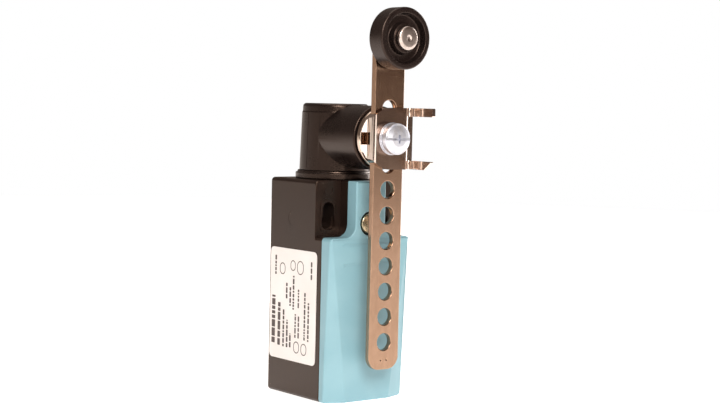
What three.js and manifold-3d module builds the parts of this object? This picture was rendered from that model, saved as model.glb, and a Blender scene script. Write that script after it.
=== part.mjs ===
// Limit switch, narrow style: a die-cast housing with a bottle-shaped plastic cover, a round twist
// head whose shaft comes out at the front, and a pierced lever bar held by a clamp, with a roller.
//
// Frame: X across the switch, -Y out of its front, +Z up. The origin is on the flat back face, midway
// between the two fixing slots. "out" is a distance from the back face towards the front.
import * as THREE from "three";
import { mergeVertices } from "three/addons/utils/BufferGeometryUtils.js";
import Module from "manifold-3d";

const wasm = await Module();
wasm.setup();

// ---------------------------------------------------------------- driving dimensions, millimetres

const HOUSING_WIDTH = 31;
const HOUSING_HEIGHT = 69;
const EAR_OUT = 24.5; // front of the two fixing ears
const RIM_OUT = 28.1; // front of the housing's rim, where the cover sits
const WALL = 1.8;
const BACK_WALL = 2;
const FLOOR_THICKNESS = 6; // takes the cable entry's thread
const HOUSING_CORNER = 1.2;
const HOUSING_EDGE = 0.5;

const FIXING_DROP = 11; // top face down to the middle of the fixing slots
const FIXING_PITCH = 21;
const SLOT_WIDTH = 4.3;
const SLOT_LENGTH = 8.5;
const SLOT_POCKET_WIDTH = 5.1; // shallow pocket round the lower half of each slot
const SLOT_POCKET_DEPTH = 1.2;

const NECK_WIDTH = 11.6;
const SHOULDER_DROP = 17.5; // top face down to the cover's shoulders
const SHOULDER_FILLET = 4;
const COVER_SIDE_OUT = 30.2; // front of the cover at its side walls
const COVER_OUT = 32.8; // front of the cover's flat middle
const COVER_WALL = 1.6;
const COVER_GAP = 0.15;
const FACET_FOOT = 8.6; // half width of the flat middle at the bottom edge
const FACET_LEAN = 0.12; // how much that half width grows per millimetre of height
const COVER_SCREW_DROP = 13.2; // top face down to the cover screw
const PANEL_WIDTH = 21; // blank name panel between two raised lines
const PANEL_TOP_DROP = 19.8;
const PANEL_HEIGHT = 6.1;
const RIB = 0.4;
const COVER_SCREW_RADIUS = 1.5;
const COVER_SCREW_HEAD = 3.1;
const COVER_RECESS_RADIUS = 3.9;
const COVER_RECESS_OUT = 30.2;
const O_RING_HEIGHT = 0.6; // ring under the cover screw's head
const GASKET_DEPTH = 1.2; // how far the cover's gasket sits in the rim
const MOULD_MARK_RADIUS = 2.5; // shallow round mark on each side wall
const MOULD_MARK_Z = -1.5;

const ENTRY_CORE_RADIUS = 9.2; // M20 x 1.5 cable entry
const ENTRY_THREAD_RADIUS = 10;
const THREAD_PITCH = 1.5;
const THREAD_TURNS = 2; // turns that are drawn, next to the mouth
const ENTRY_OUT = 14;

const HEAD_OUT = 13.1; // axis of the round head
const HEAD_FLANGE_RADIUS = 12.5;
const HEAD_FLANGE_HEIGHT = 2.6;
const HEAD_FOOT_RADIUS = 11.3;
const HEAD_TOP_RADIUS = 10.7;
const HEAD_HEIGHT = 24; // housing's top face up to the head's top
const HEAD_WALL = 2.6;
const SPIGOT_RADIUS = 8.3;
const SPIGOT_LENGTH = 4.2;
const SPIGOT_RING_DROP = 2.6; // housing's top face down to the groove of the spigot's ring
const SPIGOT_RING_WIDTH = 1.6;
const SPIGOT_RING_DEPTH = 1;

const SHAFT_RISE = 13.6; // housing's top face up to the shaft's axis
const SHAFT_RADIUS = 4;
const SNOUT_RADIUS = 10;
const SNOUT_OUT = 36;
const CAM_RADIUS = 6.4;
const CAM_FLAT = 5; // shaft axis to the flat under the cam
const CAM_WIDTH = 6;
const CIRCLIP_THICKNESS = 0.8;
const SPRING_ROOM_DEPTH = 8.6; // head's axis out to the end of the return spring's room
const BUSH_WALL = 1.5;
const SEAL_WALL = 3;
const SEAL_WIDTH = 3;

const HUB_RADIUS = 9.5;
const HUB_THICKNESS = 1.6;
const HUB_GAP = 0.6; // between the snout and the hub disc

const BAR_WIDTH = 11.5;
const BAR_THICKNESS = 2;
const BAR_FLOAT = 0.5; // back of the clamp to the back of the bar
const BAR_BELOW = 71.6; // shaft axis down to the bar's lower end
const ROLLER_RISE = 30.6; // shaft axis up to the roller's axis
const BAR_HOLE_RADIUS = 2.65;
const BAR_HOLE_PITCH = 7.87;
const BAR_HOLES_BELOW = 8;
const BAR_TOP_HOLE_RISE = 9.15; // shaft axis up to the one hole above it
const BAR_CORNER = 4;

const SHEET = 1.2; // clamp bracket's sheet thickness
const CLAMP_RIGHT = 10.4; // shaft axis to the straight right-hand edge
const PRONG_OUT = 50.3;
const PRONG_HEIGHT = 2.6;
const LOWER_PRONG_CUT = 3.4; // how far the lower prong's tip is cut back
const NOTCH_HEIGHT = 3.1;

const SCREW_RADIUS = 2.5;
const SCREW_HEAD_RADIUS = 4.8;
const SCREW_HEAD_HEIGHT = 2.9;
const SCREW_LENGTH = 11;
const WASHER_RADIUS = 5;
const WASHER_THICKNESS = 1.15;

const ROLLER_RADIUS = 9.5;
const ROLLER_WIDTH = 6.3;
const ROLLER_GAP = 1;
const ROLLER_RIM = 2;
const ROLLER_DISH = 1.5;
const ROLLER_HUB_RADIUS = 4.4;
const PIN_RADIUS = 2.5;
const PIN_HEAD_RADIUS = 3.65;
const PIN_HEAD_HEIGHT = 1.4;

const PLUNGER_RADIUS = 2.5;
const PLUNGER_TRAVEL = 3;

const LABEL_WIDTH = 25;
const LABEL_HEIGHT = 35.6;
const LABEL_DROP = 22.3; // top face down to the label's upper edge
const LABEL_THICKNESS = 0.25;
const LABEL_CORNER = 1.6;

const BLOCK_HALF = 12.3; // contact block, half its width
const BLOCK_HEIGHT = 27;
const BLOCK_DROP = 20.5; // top face down to the block's top
const BLOCK_OUT = 17;
const CHANNEL_HALF = 5.2;
const BRIDGE_THICKNESS = 0.8; // moving contact
const BRIDGE_DROP = 8; // block's top down to the moving contact at rest
const BRIDGE_INSET = 4.6; // block's side in to the end of the moving contact
const CONTACT_WIDTH = 3.4;
const TIP = 0.8; // height of a silver tip
const EARTH_INSET = 3.4; // inner wall to the earth screw's axis
const EARTH_RISE = 4; // floor to the earth screw's axis

// Clearances
const RUNNING = 0.06; // radial, between a turning shaft or sliding pin and its bore
const SEAT = 0.05; // between pieces that rest on each other
const FREE = 0.3; // between pieces that pass each other

// Smoothness
const SIDES = 32;
const SMALL_SIDES = 16;

// ---------------------------------------------------------------- derived places

const HALF = HOUSING_WIDTH / 2;
const TOP = FIXING_DROP;
const BOTTOM = TOP - HOUSING_HEIGHT;
const SHOULDER = TOP - SHOULDER_DROP;
const SHAFT_Z = TOP + SHAFT_RISE;
const HEAD_TOP = TOP + HEAD_HEIGHT;
const FLANGE_TOP = TOP + SEAT + HEAD_FLANGE_HEIGHT;
const BORE_FLOOR = TOP - SPIGOT_LENGTH - FREE;
const COVER_SCREW_Z = TOP - COVER_SCREW_DROP;
const HUB_OUT = SNOUT_OUT + HUB_GAP;
const CLAMP_BACK = HUB_OUT + HUB_THICKNESS + SEAT;
const BAR_BACK = CLAMP_BACK + BAR_FLOAT;
const BAR_FRONT = BAR_BACK + BAR_THICKNESS;
const CHANNEL_BACK = BAR_FRONT + SEAT;
const CHANNEL_FRONT = CHANNEL_BACK + SHEET;
const SCREW_SEAT = CHANNEL_FRONT + SEAT + WASHER_THICKNESS + SEAT;
const ROLLER_BACK = BAR_FRONT + ROLLER_GAP;
const ROLLER_FRONT = ROLLER_BACK + ROLLER_WIDTH;
const ROLLER_Z = SHAFT_Z + ROLLER_RISE;
const BLOCK_TOP = TOP - BLOCK_DROP;
const BLOCK_BOTTOM = BLOCK_TOP - BLOCK_HEIGHT;
const BLOCK_BACK = BACK_WALL + FREE;
const PLUNGER_TOP = SHAFT_Z - CAM_RADIUS - FREE;
const COVER_BACK = RIM_OUT + COVER_GAP;
const GASKET_BACK = RIM_OUT - GASKET_DEPTH;
const SPIGOT_RING_LOW = TOP - SPIGOT_RING_DROP;
const SPRING_ROOM_OUT = HEAD_OUT + SPRING_ROOM_DEPTH;
const SHAFT_BACK = HEAD_OUT - HEAD_TOP_RADIUS + 1.6;
const BUSH_RADIUS = SHAFT_RADIUS + BUSH_WALL;
const SEAL_BACK = SNOUT_OUT - SEAL_WIDTH;
const SEAL_RADIUS = SHAFT_RADIUS + SEAL_WALL;
const CIRCLIP_OUT = HEAD_OUT + CAM_WIDTH / 2 + 0.6;
const BRIDGE_HALF = BLOCK_HALF - BRIDGE_INSET;
const BRIDGE_TOP = BLOCK_TOP - BRIDGE_DROP;
const CONTACT_OUT = HEAD_OUT;
const CARRIER_HALF = CHANNEL_HALF - FREE;
const EARTH_X = HALF - WALL - EARTH_INSET;
const EARTH_Z = BOTTOM + FLOOR_THICKNESS + EARTH_RISE;

// ---------------------------------------------------------------- materials

function finish(colour, roughness, metalness) {
  return new THREE.MeshStandardMaterial({ color: colour, roughness, metalness });
}

const BLACK_PAINT = finish("#2a2422", 0.55, 0.1);
const BLACK_PLASTIC = finish("#1a1617", 0.42, 0);
const TEAL_PLASTIC = finish("#7fc4cc", 0.4, 0);
const NICKEL = finish("#b39a86", 0.28, 1);
const CHROME = finish("#dcdcdc", 0.14, 1);
const ZINC = finish("#c9ccd4", 0.25, 1);
const STEEL = finish("#a9a7a4", 0.35, 1);
const BRASS = finish("#b08d4c", 0.35, 1);
const SILVER = finish("#d8d8d6", 0.3, 1);
const RUBBER = finish("#151515", 0.8, 0);
const ROLLER_PLASTIC = finish("#2a2220", 0.45, 0);
const WHITE_LABEL = finish("#f1efec", 0.5, 0);
const GREY_PLASTIC = finish("#8d9296", 0.5, 0);
const RED_PLASTIC = finish("#a8322a", 0.45, 0);

// ---------------------------------------------------------------- solids

// A closed geometry as a solid; a profile that ran the other way round is turned to face out.
function solidOf(geometry) {
  const bare = geometry.clone();
  bare.deleteAttribute("normal");
  bare.deleteAttribute("uv");
  const merged = mergeVertices(bare, 1e-4);
  const corners = merged.index.array;
  const kept = [];
  for (let i = 0; i < corners.length; i += 3) {
    const [a, b, c] = corners.slice(i, i + 3);
    if (a !== b && b !== c && c !== a) kept.push([a, b, c]);
  }
  const vertProperties = new Float32Array(merged.attributes.position.array);
  const build = (triangles) =>
    new wasm.Manifold(
      new wasm.Mesh({ numProp: 3, vertProperties, triVerts: new Uint32Array(triangles.flat()) }),
    );
  const solid = build(kept);
  return solid.volume() < 0 ? build(kept.map(([a, b, c]) => [a, c, b])) : solid;
}

function geometryOf(solid) {
  const mesh = solid.getMesh();
  const geometry = new THREE.BufferGeometry();
  geometry.setAttribute("position", new THREE.BufferAttribute(mesh.vertProperties, 3));
  geometry.setIndex(new THREE.BufferAttribute(mesh.triVerts, 1));
  geometry.computeVertexNormals();
  return geometry;
}

// An outline in X and Z, extruded out of the front, with an optional rounded edge.
function plate(outline, from, to, edge = 0, arcSteps = 4) {
  const geometry = new THREE.ExtrudeGeometry(outline, {
    depth: to - from - 2 * edge,
    bevelEnabled: edge > 0,
    bevelThickness: edge,
    bevelSize: edge,
    bevelOffset: -edge,
    bevelSegments: 1,
    curveSegments: arcSteps,
  });
  geometry.rotateX(Math.PI / 2);
  geometry.translate(0, -from - edge, 0);
  return solidOf(geometry);
}

// A cylinder or cone whose axis runs out of the front.
function rod(radius, from, to, { x = 0, z = 0, endRadius = radius, sides = SIDES } = {}) {
  const geometry = new THREE.CylinderGeometry(radius, endRadius, to - from, sides);
  geometry.translate(x, -(from + to) / 2, z);
  return solidOf(geometry);
}

// An upright cylinder.
function post(radius, from, to, { x = 0, out = 0, sides = SIDES } = {}) {
  const geometry = new THREE.CylinderGeometry(radius, radius, to - from, sides);
  geometry.rotateX(Math.PI / 2);
  geometry.translate(x, -out, (from + to) / 2);
  return solidOf(geometry);
}

// A profile of [radius, out] points turned about an axis that runs out of the front.
function turnedOut(profile, { x = 0, z = 0, sides = SIDES } = {}) {
  const points = profile.map(([radius, out]) => new THREE.Vector2(radius, -out));
  const geometry = new THREE.LatheGeometry(points, sides);
  geometry.translate(x, 0, z);
  return solidOf(geometry);
}

// A profile of [radius, z] points turned about an upright axis.
function turnedUp(profile, { x = 0, out = 0, sides = SIDES } = {}) {
  const points = profile.map(([radius, z]) => new THREE.Vector2(radius, z));
  const geometry = new THREE.LatheGeometry(points, sides);
  geometry.rotateX(Math.PI / 2);
  geometry.translate(x, -out, 0);
  return solidOf(geometry);
}

function ringOut(inner, outer, from, to, place = {}) {
  const profile = [[inner, from], [outer, from], [outer, to], [inner, to], [inner, from]];
  return turnedOut(profile, place);
}

function ringUp(inner, outer, from, to, place = {}) {
  const profile = [[inner, from], [outer, from], [outer, to], [inner, to], [inner, from]];
  return turnedUp(profile, place);
}

function brick([x0, x1], [out0, out1], [z0, z1]) {
  const geometry = new THREE.BoxGeometry(x1 - x0, out1 - out0, z1 - z0);
  geometry.translate((x0 + x1) / 2, -(out0 + out1) / 2, (z0 + z1) / 2);
  return solidOf(geometry);
}

// A solid through a row of alike convex sections, each a list of corners.
function loft(sections) {
  const corners = sections[0].length;
  const positions = sections.flat().flatMap((p) => [p.x, p.y, p.z]);
  const index = [];
  for (let s = 0; s + 1 < sections.length; s++)
    for (let c = 0; c < corners; c++) {
      const low = s * corners + c;
      const next = s * corners + ((c + 1) % corners);
      index.push(low, next, next + corners, low, next + corners, low + corners);
    }
  const last = (sections.length - 1) * corners;
  for (let c = 1; c + 1 < corners; c++) {
    index.push(0, c + 1, c);
    index.push(last, last + c, last + c + 1);
  }
  const geometry = new THREE.BufferGeometry();
  geometry.setAttribute("position", new THREE.Float32BufferAttribute(positions, 3));
  geometry.setIndex(index);
  return solidOf(geometry);
}

class Helix extends THREE.Curve {
  constructor(radius, pitch, turns) {
    super();
    Object.assign(this, { radius, pitch, turns });
  }
  getPoint(t, target = new THREE.Vector3()) {
    const angle = 2 * Math.PI * this.turns * t;
    const rise = this.pitch * this.turns * t;
    return target.set(this.radius * Math.cos(angle), this.radius * Math.sin(angle), rise);
  }
}

// A helical spring that stands on z = 0 and rises along Z.
function coil(radius, wire, height, turns) {
  const section = new THREE.Shape().absarc(0, 0, wire / 2, 0, 2 * Math.PI);
  const helix = new Helix(radius, (height - wire) / turns, turns);
  const geometry = new THREE.ExtrudeGeometry(section, {
    steps: Math.round(turns * 12),
    extrudePath: helix,
    curveSegments: 3,
  });
  geometry.translate(0, 0, wire / 2);
  return geometry;
}

function roundedRectangle(width, height, radius, centreX = 0, centreZ = 0) {
  const x = width / 2 - radius;
  const z = height / 2 - radius;
  const shape = new THREE.Shape();
  shape.absarc(centreX + x, centreZ + z, radius, 0, Math.PI / 2);
  shape.absarc(centreX - x, centreZ + z, radius, Math.PI / 2, Math.PI);
  shape.absarc(centreX - x, centreZ - z, radius, Math.PI, 1.5 * Math.PI);
  shape.absarc(centreX + x, centreZ - z, radius, 1.5 * Math.PI, 2 * Math.PI);
  shape.closePath();
  return shape;
}

const mirrored = (solid) => solid.mirror([1, 0, 0]);
const onBothSides = (solid) => solid.add(mirrored(solid));

// ---------------------------------------------------------------- housing and cover

// The bottle shape that the rim, the gasket and the cover share, drawn in by inset.
function bottle(inset) {
  const half = HALF - inset;
  const neck = NECK_WIDTH / 2 - inset;
  const bottom = BOTTOM + inset;
  const shoulder = SHOULDER - inset;
  const top = TOP - inset;
  const fillet = SHOULDER_FILLET + inset;
  const corner = Math.max(HOUSING_CORNER - inset, 0.2);
  const shape = new THREE.Shape();
  shape.absarc(half - corner, bottom + corner, corner, 1.5 * Math.PI, 2 * Math.PI);
  shape.absarc(half - corner, shoulder - corner, corner, 0, Math.PI / 2);
  shape.absarc(neck + fillet, shoulder + fillet, fillet, 1.5 * Math.PI, Math.PI, true);
  shape.lineTo(neck, top);
  shape.lineTo(-neck, top);
  shape.absarc(-neck - fillet, shoulder + fillet, fillet, 2 * Math.PI, 1.5 * Math.PI, true);
  shape.absarc(-half + corner, shoulder - corner, corner, Math.PI / 2, Math.PI);
  shape.absarc(-half + corner, bottom + corner, corner, Math.PI, 1.5 * Math.PI);
  shape.closePath();
  return shape;
}

// The threaded cable entry through the housing's floor, as the space it takes.
function cableEntry() {
  const profile = [
    [0, BOTTOM - 1],
    [ENTRY_THREAD_RADIUS, BOTTOM - 1],
    [ENTRY_THREAD_RADIUS, BOTTOM],
  ];
  for (let turn = 0; turn < THREAD_TURNS; turn++) {
    const crest = BOTTOM + (turn + 0.5) * THREAD_PITCH;
    profile.push([ENTRY_CORE_RADIUS, crest], [ENTRY_THREAD_RADIUS, crest + THREAD_PITCH / 2]);
  }
  const shoulder = BOTTOM + (THREAD_TURNS + 0.5) * THREAD_PITCH;
  profile.push([ENTRY_CORE_RADIUS, shoulder], [ENTRY_CORE_RADIUS, BOTTOM + FLOOR_THICKNESS + 1]);
  profile.push([0, BOTTOM + FLOOR_THICKNESS + 1]);
  return turnedUp(profile, { out: ENTRY_OUT });
}

// One fixing slot with its pocket, on the +X side.
function fixingSlot() {
  const x = FIXING_PITCH / 2;
  const slotOutline = roundedRectangle(SLOT_WIDTH, SLOT_LENGTH, SLOT_WIDTH / 2 - 0.01, x, 0);
  const slot = plate(slotOutline, -1, EAR_OUT + 1);
  const pocketLength = SLOT_LENGTH / 2 + SLOT_POCKET_WIDTH / 2 - SLOT_WIDTH / 2;
  const pocketMiddle = -SLOT_LENGTH / 2 + pocketLength / 2 - (SLOT_POCKET_WIDTH - SLOT_WIDTH) / 2;
  const pocket = roundedRectangle(SLOT_POCKET_WIDTH, pocketLength, SLOT_POCKET_WIDTH / 3, x, pocketMiddle);
  return slot.add(plate(pocket, EAR_OUT - SLOT_POCKET_DEPTH, EAR_OUT + 1));
}

// The raised arc over a fixing slot and the small raised loop above it.
function earMarks() {
  const x = FIXING_PITCH / 2;
  const arcRadius = SLOT_WIDTH / 2 + 0.9;
  const arc = new THREE.Shape();
  const arcCentre = SLOT_LENGTH / 2 - SLOT_WIDTH / 2;
  arc.absarc(x, arcCentre, arcRadius + RIB, 0.25 * Math.PI, 0.75 * Math.PI);
  arc.absarc(x, arcCentre, arcRadius, 0.75 * Math.PI, 0.25 * Math.PI, true);
  const loopCentre = SLOT_LENGTH / 2 + 3.4;
  const loop = new THREE.Shape();
  loop.absarc(x, loopCentre, 1.4 + RIB, Math.PI, 2 * Math.PI);
  loop.lineTo(x + 1.4 + RIB, loopCentre + 1);
  loop.lineTo(x + 1.4, loopCentre + 1);
  loop.absarc(x, loopCentre, 1.4, 2 * Math.PI, Math.PI, true);
  loop.lineTo(x - 1.4, loopCentre + 1);
  loop.lineTo(x - 1.4 - RIB, loopCentre + 1);
  const sunk = 0.2;
  const front = EAR_OUT + RIB / 2;
  return plate(arc, EAR_OUT - sunk, front).add(plate(loop, EAR_OUT - sunk, front));
}

function housing() {
  const height = TOP - BOTTOM;
  const middle = (TOP + BOTTOM) / 2;
  const block = roundedRectangle(HOUSING_WIDTH, height, HOUSING_CORNER, 0, middle);
  let solid = plate(block, 0, EAR_OUT, HOUSING_EDGE);
  solid = solid.add(plate(bottle(0), EAR_OUT - 2, RIM_OUT));
  const roomTop = BORE_FLOOR - WALL;
  const room = plate(bottle(WALL), BACK_WALL, RIM_OUT + 1);
  const roomHeight = brick([-HALF, HALF], [0, RIM_OUT + 2], [BOTTOM + FLOOR_THICKNESS, roomTop]);
  solid = solid.subtract(room.intersect(roomHeight));
  // A groove round the rim takes the cover's gasket.
  const groove = plate(bottle(WALL / 2), GASKET_BACK, RIM_OUT + 1);
  const grooveCore = plate(bottle(WALL + FREE), GASKET_BACK - 1, RIM_OUT + 2);
  solid = solid.subtract(groove.subtract(grooveCore));
  // A bridge across the neck holds the cover screw's thread, clear of the plunger behind it.
  const bridgeHalf = 3.2;
  const bridgeBack = HEAD_OUT + PLUNGER_RADIUS + 3;
  const neckHalf = NECK_WIDTH / 2 - WALL / 2;
  const bridgeZ = [COVER_SCREW_Z - bridgeHalf, COVER_SCREW_Z + bridgeHalf];
  solid = solid.add(brick([-neckHalf, neckHalf], [bridgeBack, GASKET_BACK - FREE], bridgeZ));
  const threadRadius = COVER_SCREW_RADIUS + RUNNING;
  const thread = { z: COVER_SCREW_Z, sides: SMALL_SIDES };
  solid = solid.subtract(rod(threadRadius, bridgeBack - 1, RIM_OUT, thread));
  // The head's spigot drops into a bore in the top, and the plunger runs down through its floor.
  solid = solid.subtract(post(SPIGOT_RADIUS + SEAT, BORE_FLOOR, TOP + 1, { out: HEAD_OUT }));
  const guide = { out: HEAD_OUT, sides: SMALL_SIDES };
  solid = solid.subtract(post(PLUNGER_RADIUS + FREE, BLOCK_TOP, TOP, guide));
  solid = solid.subtract(cableEntry());
  solid = solid.subtract(onBothSides(fixingSlot()));
  solid = solid.add(onBothSides(earMarks()));
  // Shallow round moulding marks on the side walls.
  const disc = new THREE.CylinderGeometry(MOULD_MARK_RADIUS, MOULD_MARK_RADIUS, 0.5, SMALL_SIDES);
  const mark = solidOf(disc.rotateZ(Math.PI / 2)).translate([HALF, -HEAD_OUT + 0.6, MOULD_MARK_Z]);
  return solid.subtract(onBothSides(mark));
}

// What the sloping facets take off one side of the cover, moved in by inset.
function facetCutter(inset) {
  const reach = 1.5;
  const steps = 8;
  const sections = [];
  for (let step = 0; step <= steps; step++) {
    const z = BOTTOM - 1 + ((SHOULDER - BOTTOM + 2) * step) / steps;
    const flat = Math.min(FACET_FOOT + FACET_LEAN * (z - BOTTOM), HALF - 0.4) - inset * 0.4;
    const run = new THREE.Vector2(HALF - flat, COVER_SIDE_OUT - COVER_OUT).normalize();
    const sideX = HALF + reach * run.x;
    const sideOut = COVER_SIDE_OUT - inset + reach * run.y;
    const flatX = flat - reach * run.x;
    const flatOut = COVER_OUT - inset - reach * run.y;
    sections.push([
      new THREE.Vector3(sideX, -sideOut, z),
      new THREE.Vector3(sideX, -flatOut, z),
      new THREE.Vector3(flatX, -flatOut, z),
    ]);
  }
  return loft(sections);
}

function cover() {
  let solid = plate(bottle(0), COVER_BACK, COVER_OUT);
  solid = solid.subtract(onBothSides(facetCutter(0)));
  let hollow = plate(bottle(COVER_WALL), COVER_BACK - 1, COVER_OUT - COVER_WALL);
  hollow = hollow.subtract(onBothSides(facetCutter(COVER_WALL)));
  const boss = rod(NECK_WIDTH / 2 - COVER_GAP, COVER_BACK, COVER_OUT - COVER_WALL, { z: COVER_SCREW_Z });
  solid = solid.subtract(hollow.subtract(boss));
  const recess = rod(COVER_RECESS_RADIUS, COVER_RECESS_OUT, COVER_OUT + 1, { z: COVER_SCREW_Z });
  const screwHole = { z: COVER_SCREW_Z, sides: SMALL_SIDES };
  const hole = rod(COVER_SCREW_RADIUS + FREE, COVER_BACK - 1, COVER_OUT, screwHole);
  solid = solid.subtract(recess).subtract(hole);
  const lineHalf = PANEL_WIDTH / 2;
  for (const drop of [PANEL_TOP_DROP, PANEL_TOP_DROP + PANEL_HEIGHT]) {
    const z = TOP - drop;
    const lineDepth = [COVER_OUT - RIB, COVER_OUT + RIB / 2];
    solid = solid.add(brick([-lineHalf, lineHalf], lineDepth, [z - RIB / 2, z + RIB / 2]));
  }
  return solid;
}

function coverGasket() {
  const outer = plate(bottle(WALL / 2 + SEAT), GASKET_BACK + SEAT, COVER_BACK - SEAT);
  const inner = plate(bottle(WALL - SEAT), GASKET_BACK - 1, COVER_BACK + 1);
  return outer.subtract(inner);
}

// A screw along Y with a cross recess: thread from tip to seat, head from seat to front.
function crossScrew(screw) {
  const { radius, headRadius, tip, seat, front } = screw;
  const { x = 0, z = 0, dome = 0.5, sides = SMALL_SIDES } = screw;
  const profile = [
    [0, tip],
    [radius - 0.3, tip],
    [radius, tip + 0.4],
    [radius, seat],
    [headRadius, seat],
    [headRadius, front - dome],
    [headRadius - dome, front],
    [0, front],
  ];
  const body = turnedOut(profile, { x, z, sides });
  const arm = headRadius * 0.55;
  const thin = headRadius * 0.11;
  const deep = front - (front - seat) * 0.6;
  const across = brick([x - arm, x + arm], [deep, front + 1], [z - thin, z + thin]);
  const upright = brick([x - thin, x + thin], [deep, front + 1], [z - arm, z + arm]);
  return body.subtract(across.add(upright));
}

// ---------------------------------------------------------------- head

function headFlange() {
  const step = 0.5;
  const profile = [
    [PLUNGER_RADIUS + RUNNING, TOP - SPIGOT_LENGTH],
    [SPIGOT_RADIUS, TOP - SPIGOT_LENGTH],
    [SPIGOT_RADIUS, SPIGOT_RING_LOW],
    [SPIGOT_RADIUS - SPIGOT_RING_DEPTH, SPIGOT_RING_LOW],
    [SPIGOT_RADIUS - SPIGOT_RING_DEPTH, SPIGOT_RING_LOW + SPIGOT_RING_WIDTH],
    [SPIGOT_RADIUS, SPIGOT_RING_LOW + SPIGOT_RING_WIDTH],
    [SPIGOT_RADIUS, TOP + SEAT],
    [HEAD_FLANGE_RADIUS, TOP + SEAT],
    [HEAD_FLANGE_RADIUS, FLANGE_TOP - step],
    [HEAD_FLANGE_RADIUS - step, FLANGE_TOP],
    [PLUNGER_RADIUS + RUNNING, FLANGE_TOP],
    [PLUNGER_RADIUS + RUNNING, TOP - SPIGOT_LENGTH],
  ];
  return turnedUp(profile, { out: HEAD_OUT });
}

function headHousing() {
  const foot = FLANGE_TOP + SEAT;
  const cap = 2.8;
  const round = 1;
  const body = turnedUp(
    [
      [0, foot],
      [HEAD_FOOT_RADIUS, foot],
      [HEAD_TOP_RADIUS, HEAD_TOP - cap],
      [HEAD_TOP_RADIUS - 0.15, HEAD_TOP - round],
      [HEAD_TOP_RADIUS - 0.5, HEAD_TOP - round * 0.3],
      [HEAD_TOP_RADIUS - round - 0.3, HEAD_TOP],
      [0, HEAD_TOP],
    ],
    { out: HEAD_OUT, sides: 48 },
  );
  const chamfer = 0.4;
  const snout = turnedOut(
    [
      [0, HEAD_OUT],
      [SNOUT_RADIUS, HEAD_OUT],
      [SNOUT_RADIUS, SNOUT_OUT - chamfer],
      [SNOUT_RADIUS - chamfer, SNOUT_OUT],
      [0, SNOUT_OUT],
    ],
    { z: SHAFT_Z, sides: 48 },
  );
  const room = post(HEAD_TOP_RADIUS - HEAD_WALL, foot - 1, HEAD_TOP - HEAD_WALL, { out: HEAD_OUT });
  const backBearing = rod(SHAFT_RADIUS + RUNNING, SHAFT_BACK - FREE, HEAD_OUT, { z: SHAFT_Z });
  const springRoom = rod(SEAL_RADIUS, HEAD_OUT, SPRING_ROOM_OUT, { z: SHAFT_Z });
  const bushBore = rod(BUSH_RADIUS + SEAT, HEAD_OUT, SNOUT_OUT, { z: SHAFT_Z });
  const sealBore = rod(SEAL_RADIUS + SEAT, SEAL_BACK, SNOUT_OUT + 1, { z: SHAFT_Z });
  const bores = room.add(backBearing).add(springRoom).add(bushBore).add(sealBore);
  return body.add(snout).subtract(bores);
}

// The shaft with its cam; the flat under the cam lets the plunger stand at its highest.
function actuatorShaft() {
  const front = HUB_OUT + HUB_THICKNESS - SEAT;
  const groove = 0.5;
  const clip = CIRCLIP_OUT;
  const thread = SCREW_RADIUS + RUNNING;
  const threadBack = SCREW_SEAT - SCREW_LENGTH - FREE;
  const body = turnedOut(
    [
      [0, SHAFT_BACK],
      [SHAFT_RADIUS, SHAFT_BACK],
      [SHAFT_RADIUS, clip],
      [SHAFT_RADIUS - groove, clip],
      [SHAFT_RADIUS - groove, clip + CIRCLIP_THICKNESS],
      [SHAFT_RADIUS, clip + CIRCLIP_THICKNESS],
      [SHAFT_RADIUS, front],
      [thread, front],
      [thread, threadBack],
      [0, threadBack],
    ],
    { z: SHAFT_Z },
  );
  const half = CAM_WIDTH / 2;
  const disc = rod(CAM_RADIUS, HEAD_OUT - half, HEAD_OUT + half, { z: SHAFT_Z });
  const below = [SHAFT_Z - 2 * CAM_RADIUS, SHAFT_Z - CAM_FLAT];
  const flat = brick([-CAM_RADIUS, CAM_RADIUS], [HEAD_OUT - CAM_WIDTH, HEAD_OUT + CAM_WIDTH], below);
  return body.add(disc.subtract(flat));
}

function circlip() {
  const low = CIRCLIP_OUT + SEAT;
  const high = CIRCLIP_OUT + CIRCLIP_THICKNESS - SEAT;
  const ring = ringOut(SHAFT_RADIUS - 0.5 + SEAT, SHAFT_RADIUS + 1.2, low, high, { z: SHAFT_Z });
  const opening = brick([-2, 2], [low - 1, high + 1], [SHAFT_Z, SHAFT_Z + 2 * SHAFT_RADIUS]);
  return ring.subtract(opening);
}

function returnSpring() {
  const wire = 0.8;
  const from = CIRCLIP_OUT + CIRCLIP_THICKNESS + FREE;
  const to = SPRING_ROOM_OUT - FREE;
  const geometry = coil(SHAFT_RADIUS + 1.4, wire, to - from, 3);
  geometry.rotateX(Math.PI / 2);
  geometry.translate(0, -from, SHAFT_Z);
  return solidOf(geometry);
}

function shaftSeal() {
  const outer = SEAL_RADIUS;
  const inner = SHAFT_RADIUS + RUNNING;
  const back = SEAL_BACK + SEAT;
  const front = SNOUT_OUT - 0.4;
  const lip = 0.7;
  const profile = [
    [inner, back + lip],
    [inner + 1.2, back],
    [outer, back],
    [outer, front],
    [inner + 1.2, front],
    [inner, front - lip],
    [inner, back + lip],
  ];
  return turnedOut(profile, { z: SHAFT_Z });
}

// ---------------------------------------------------------------- lever, clamp and roller

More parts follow.
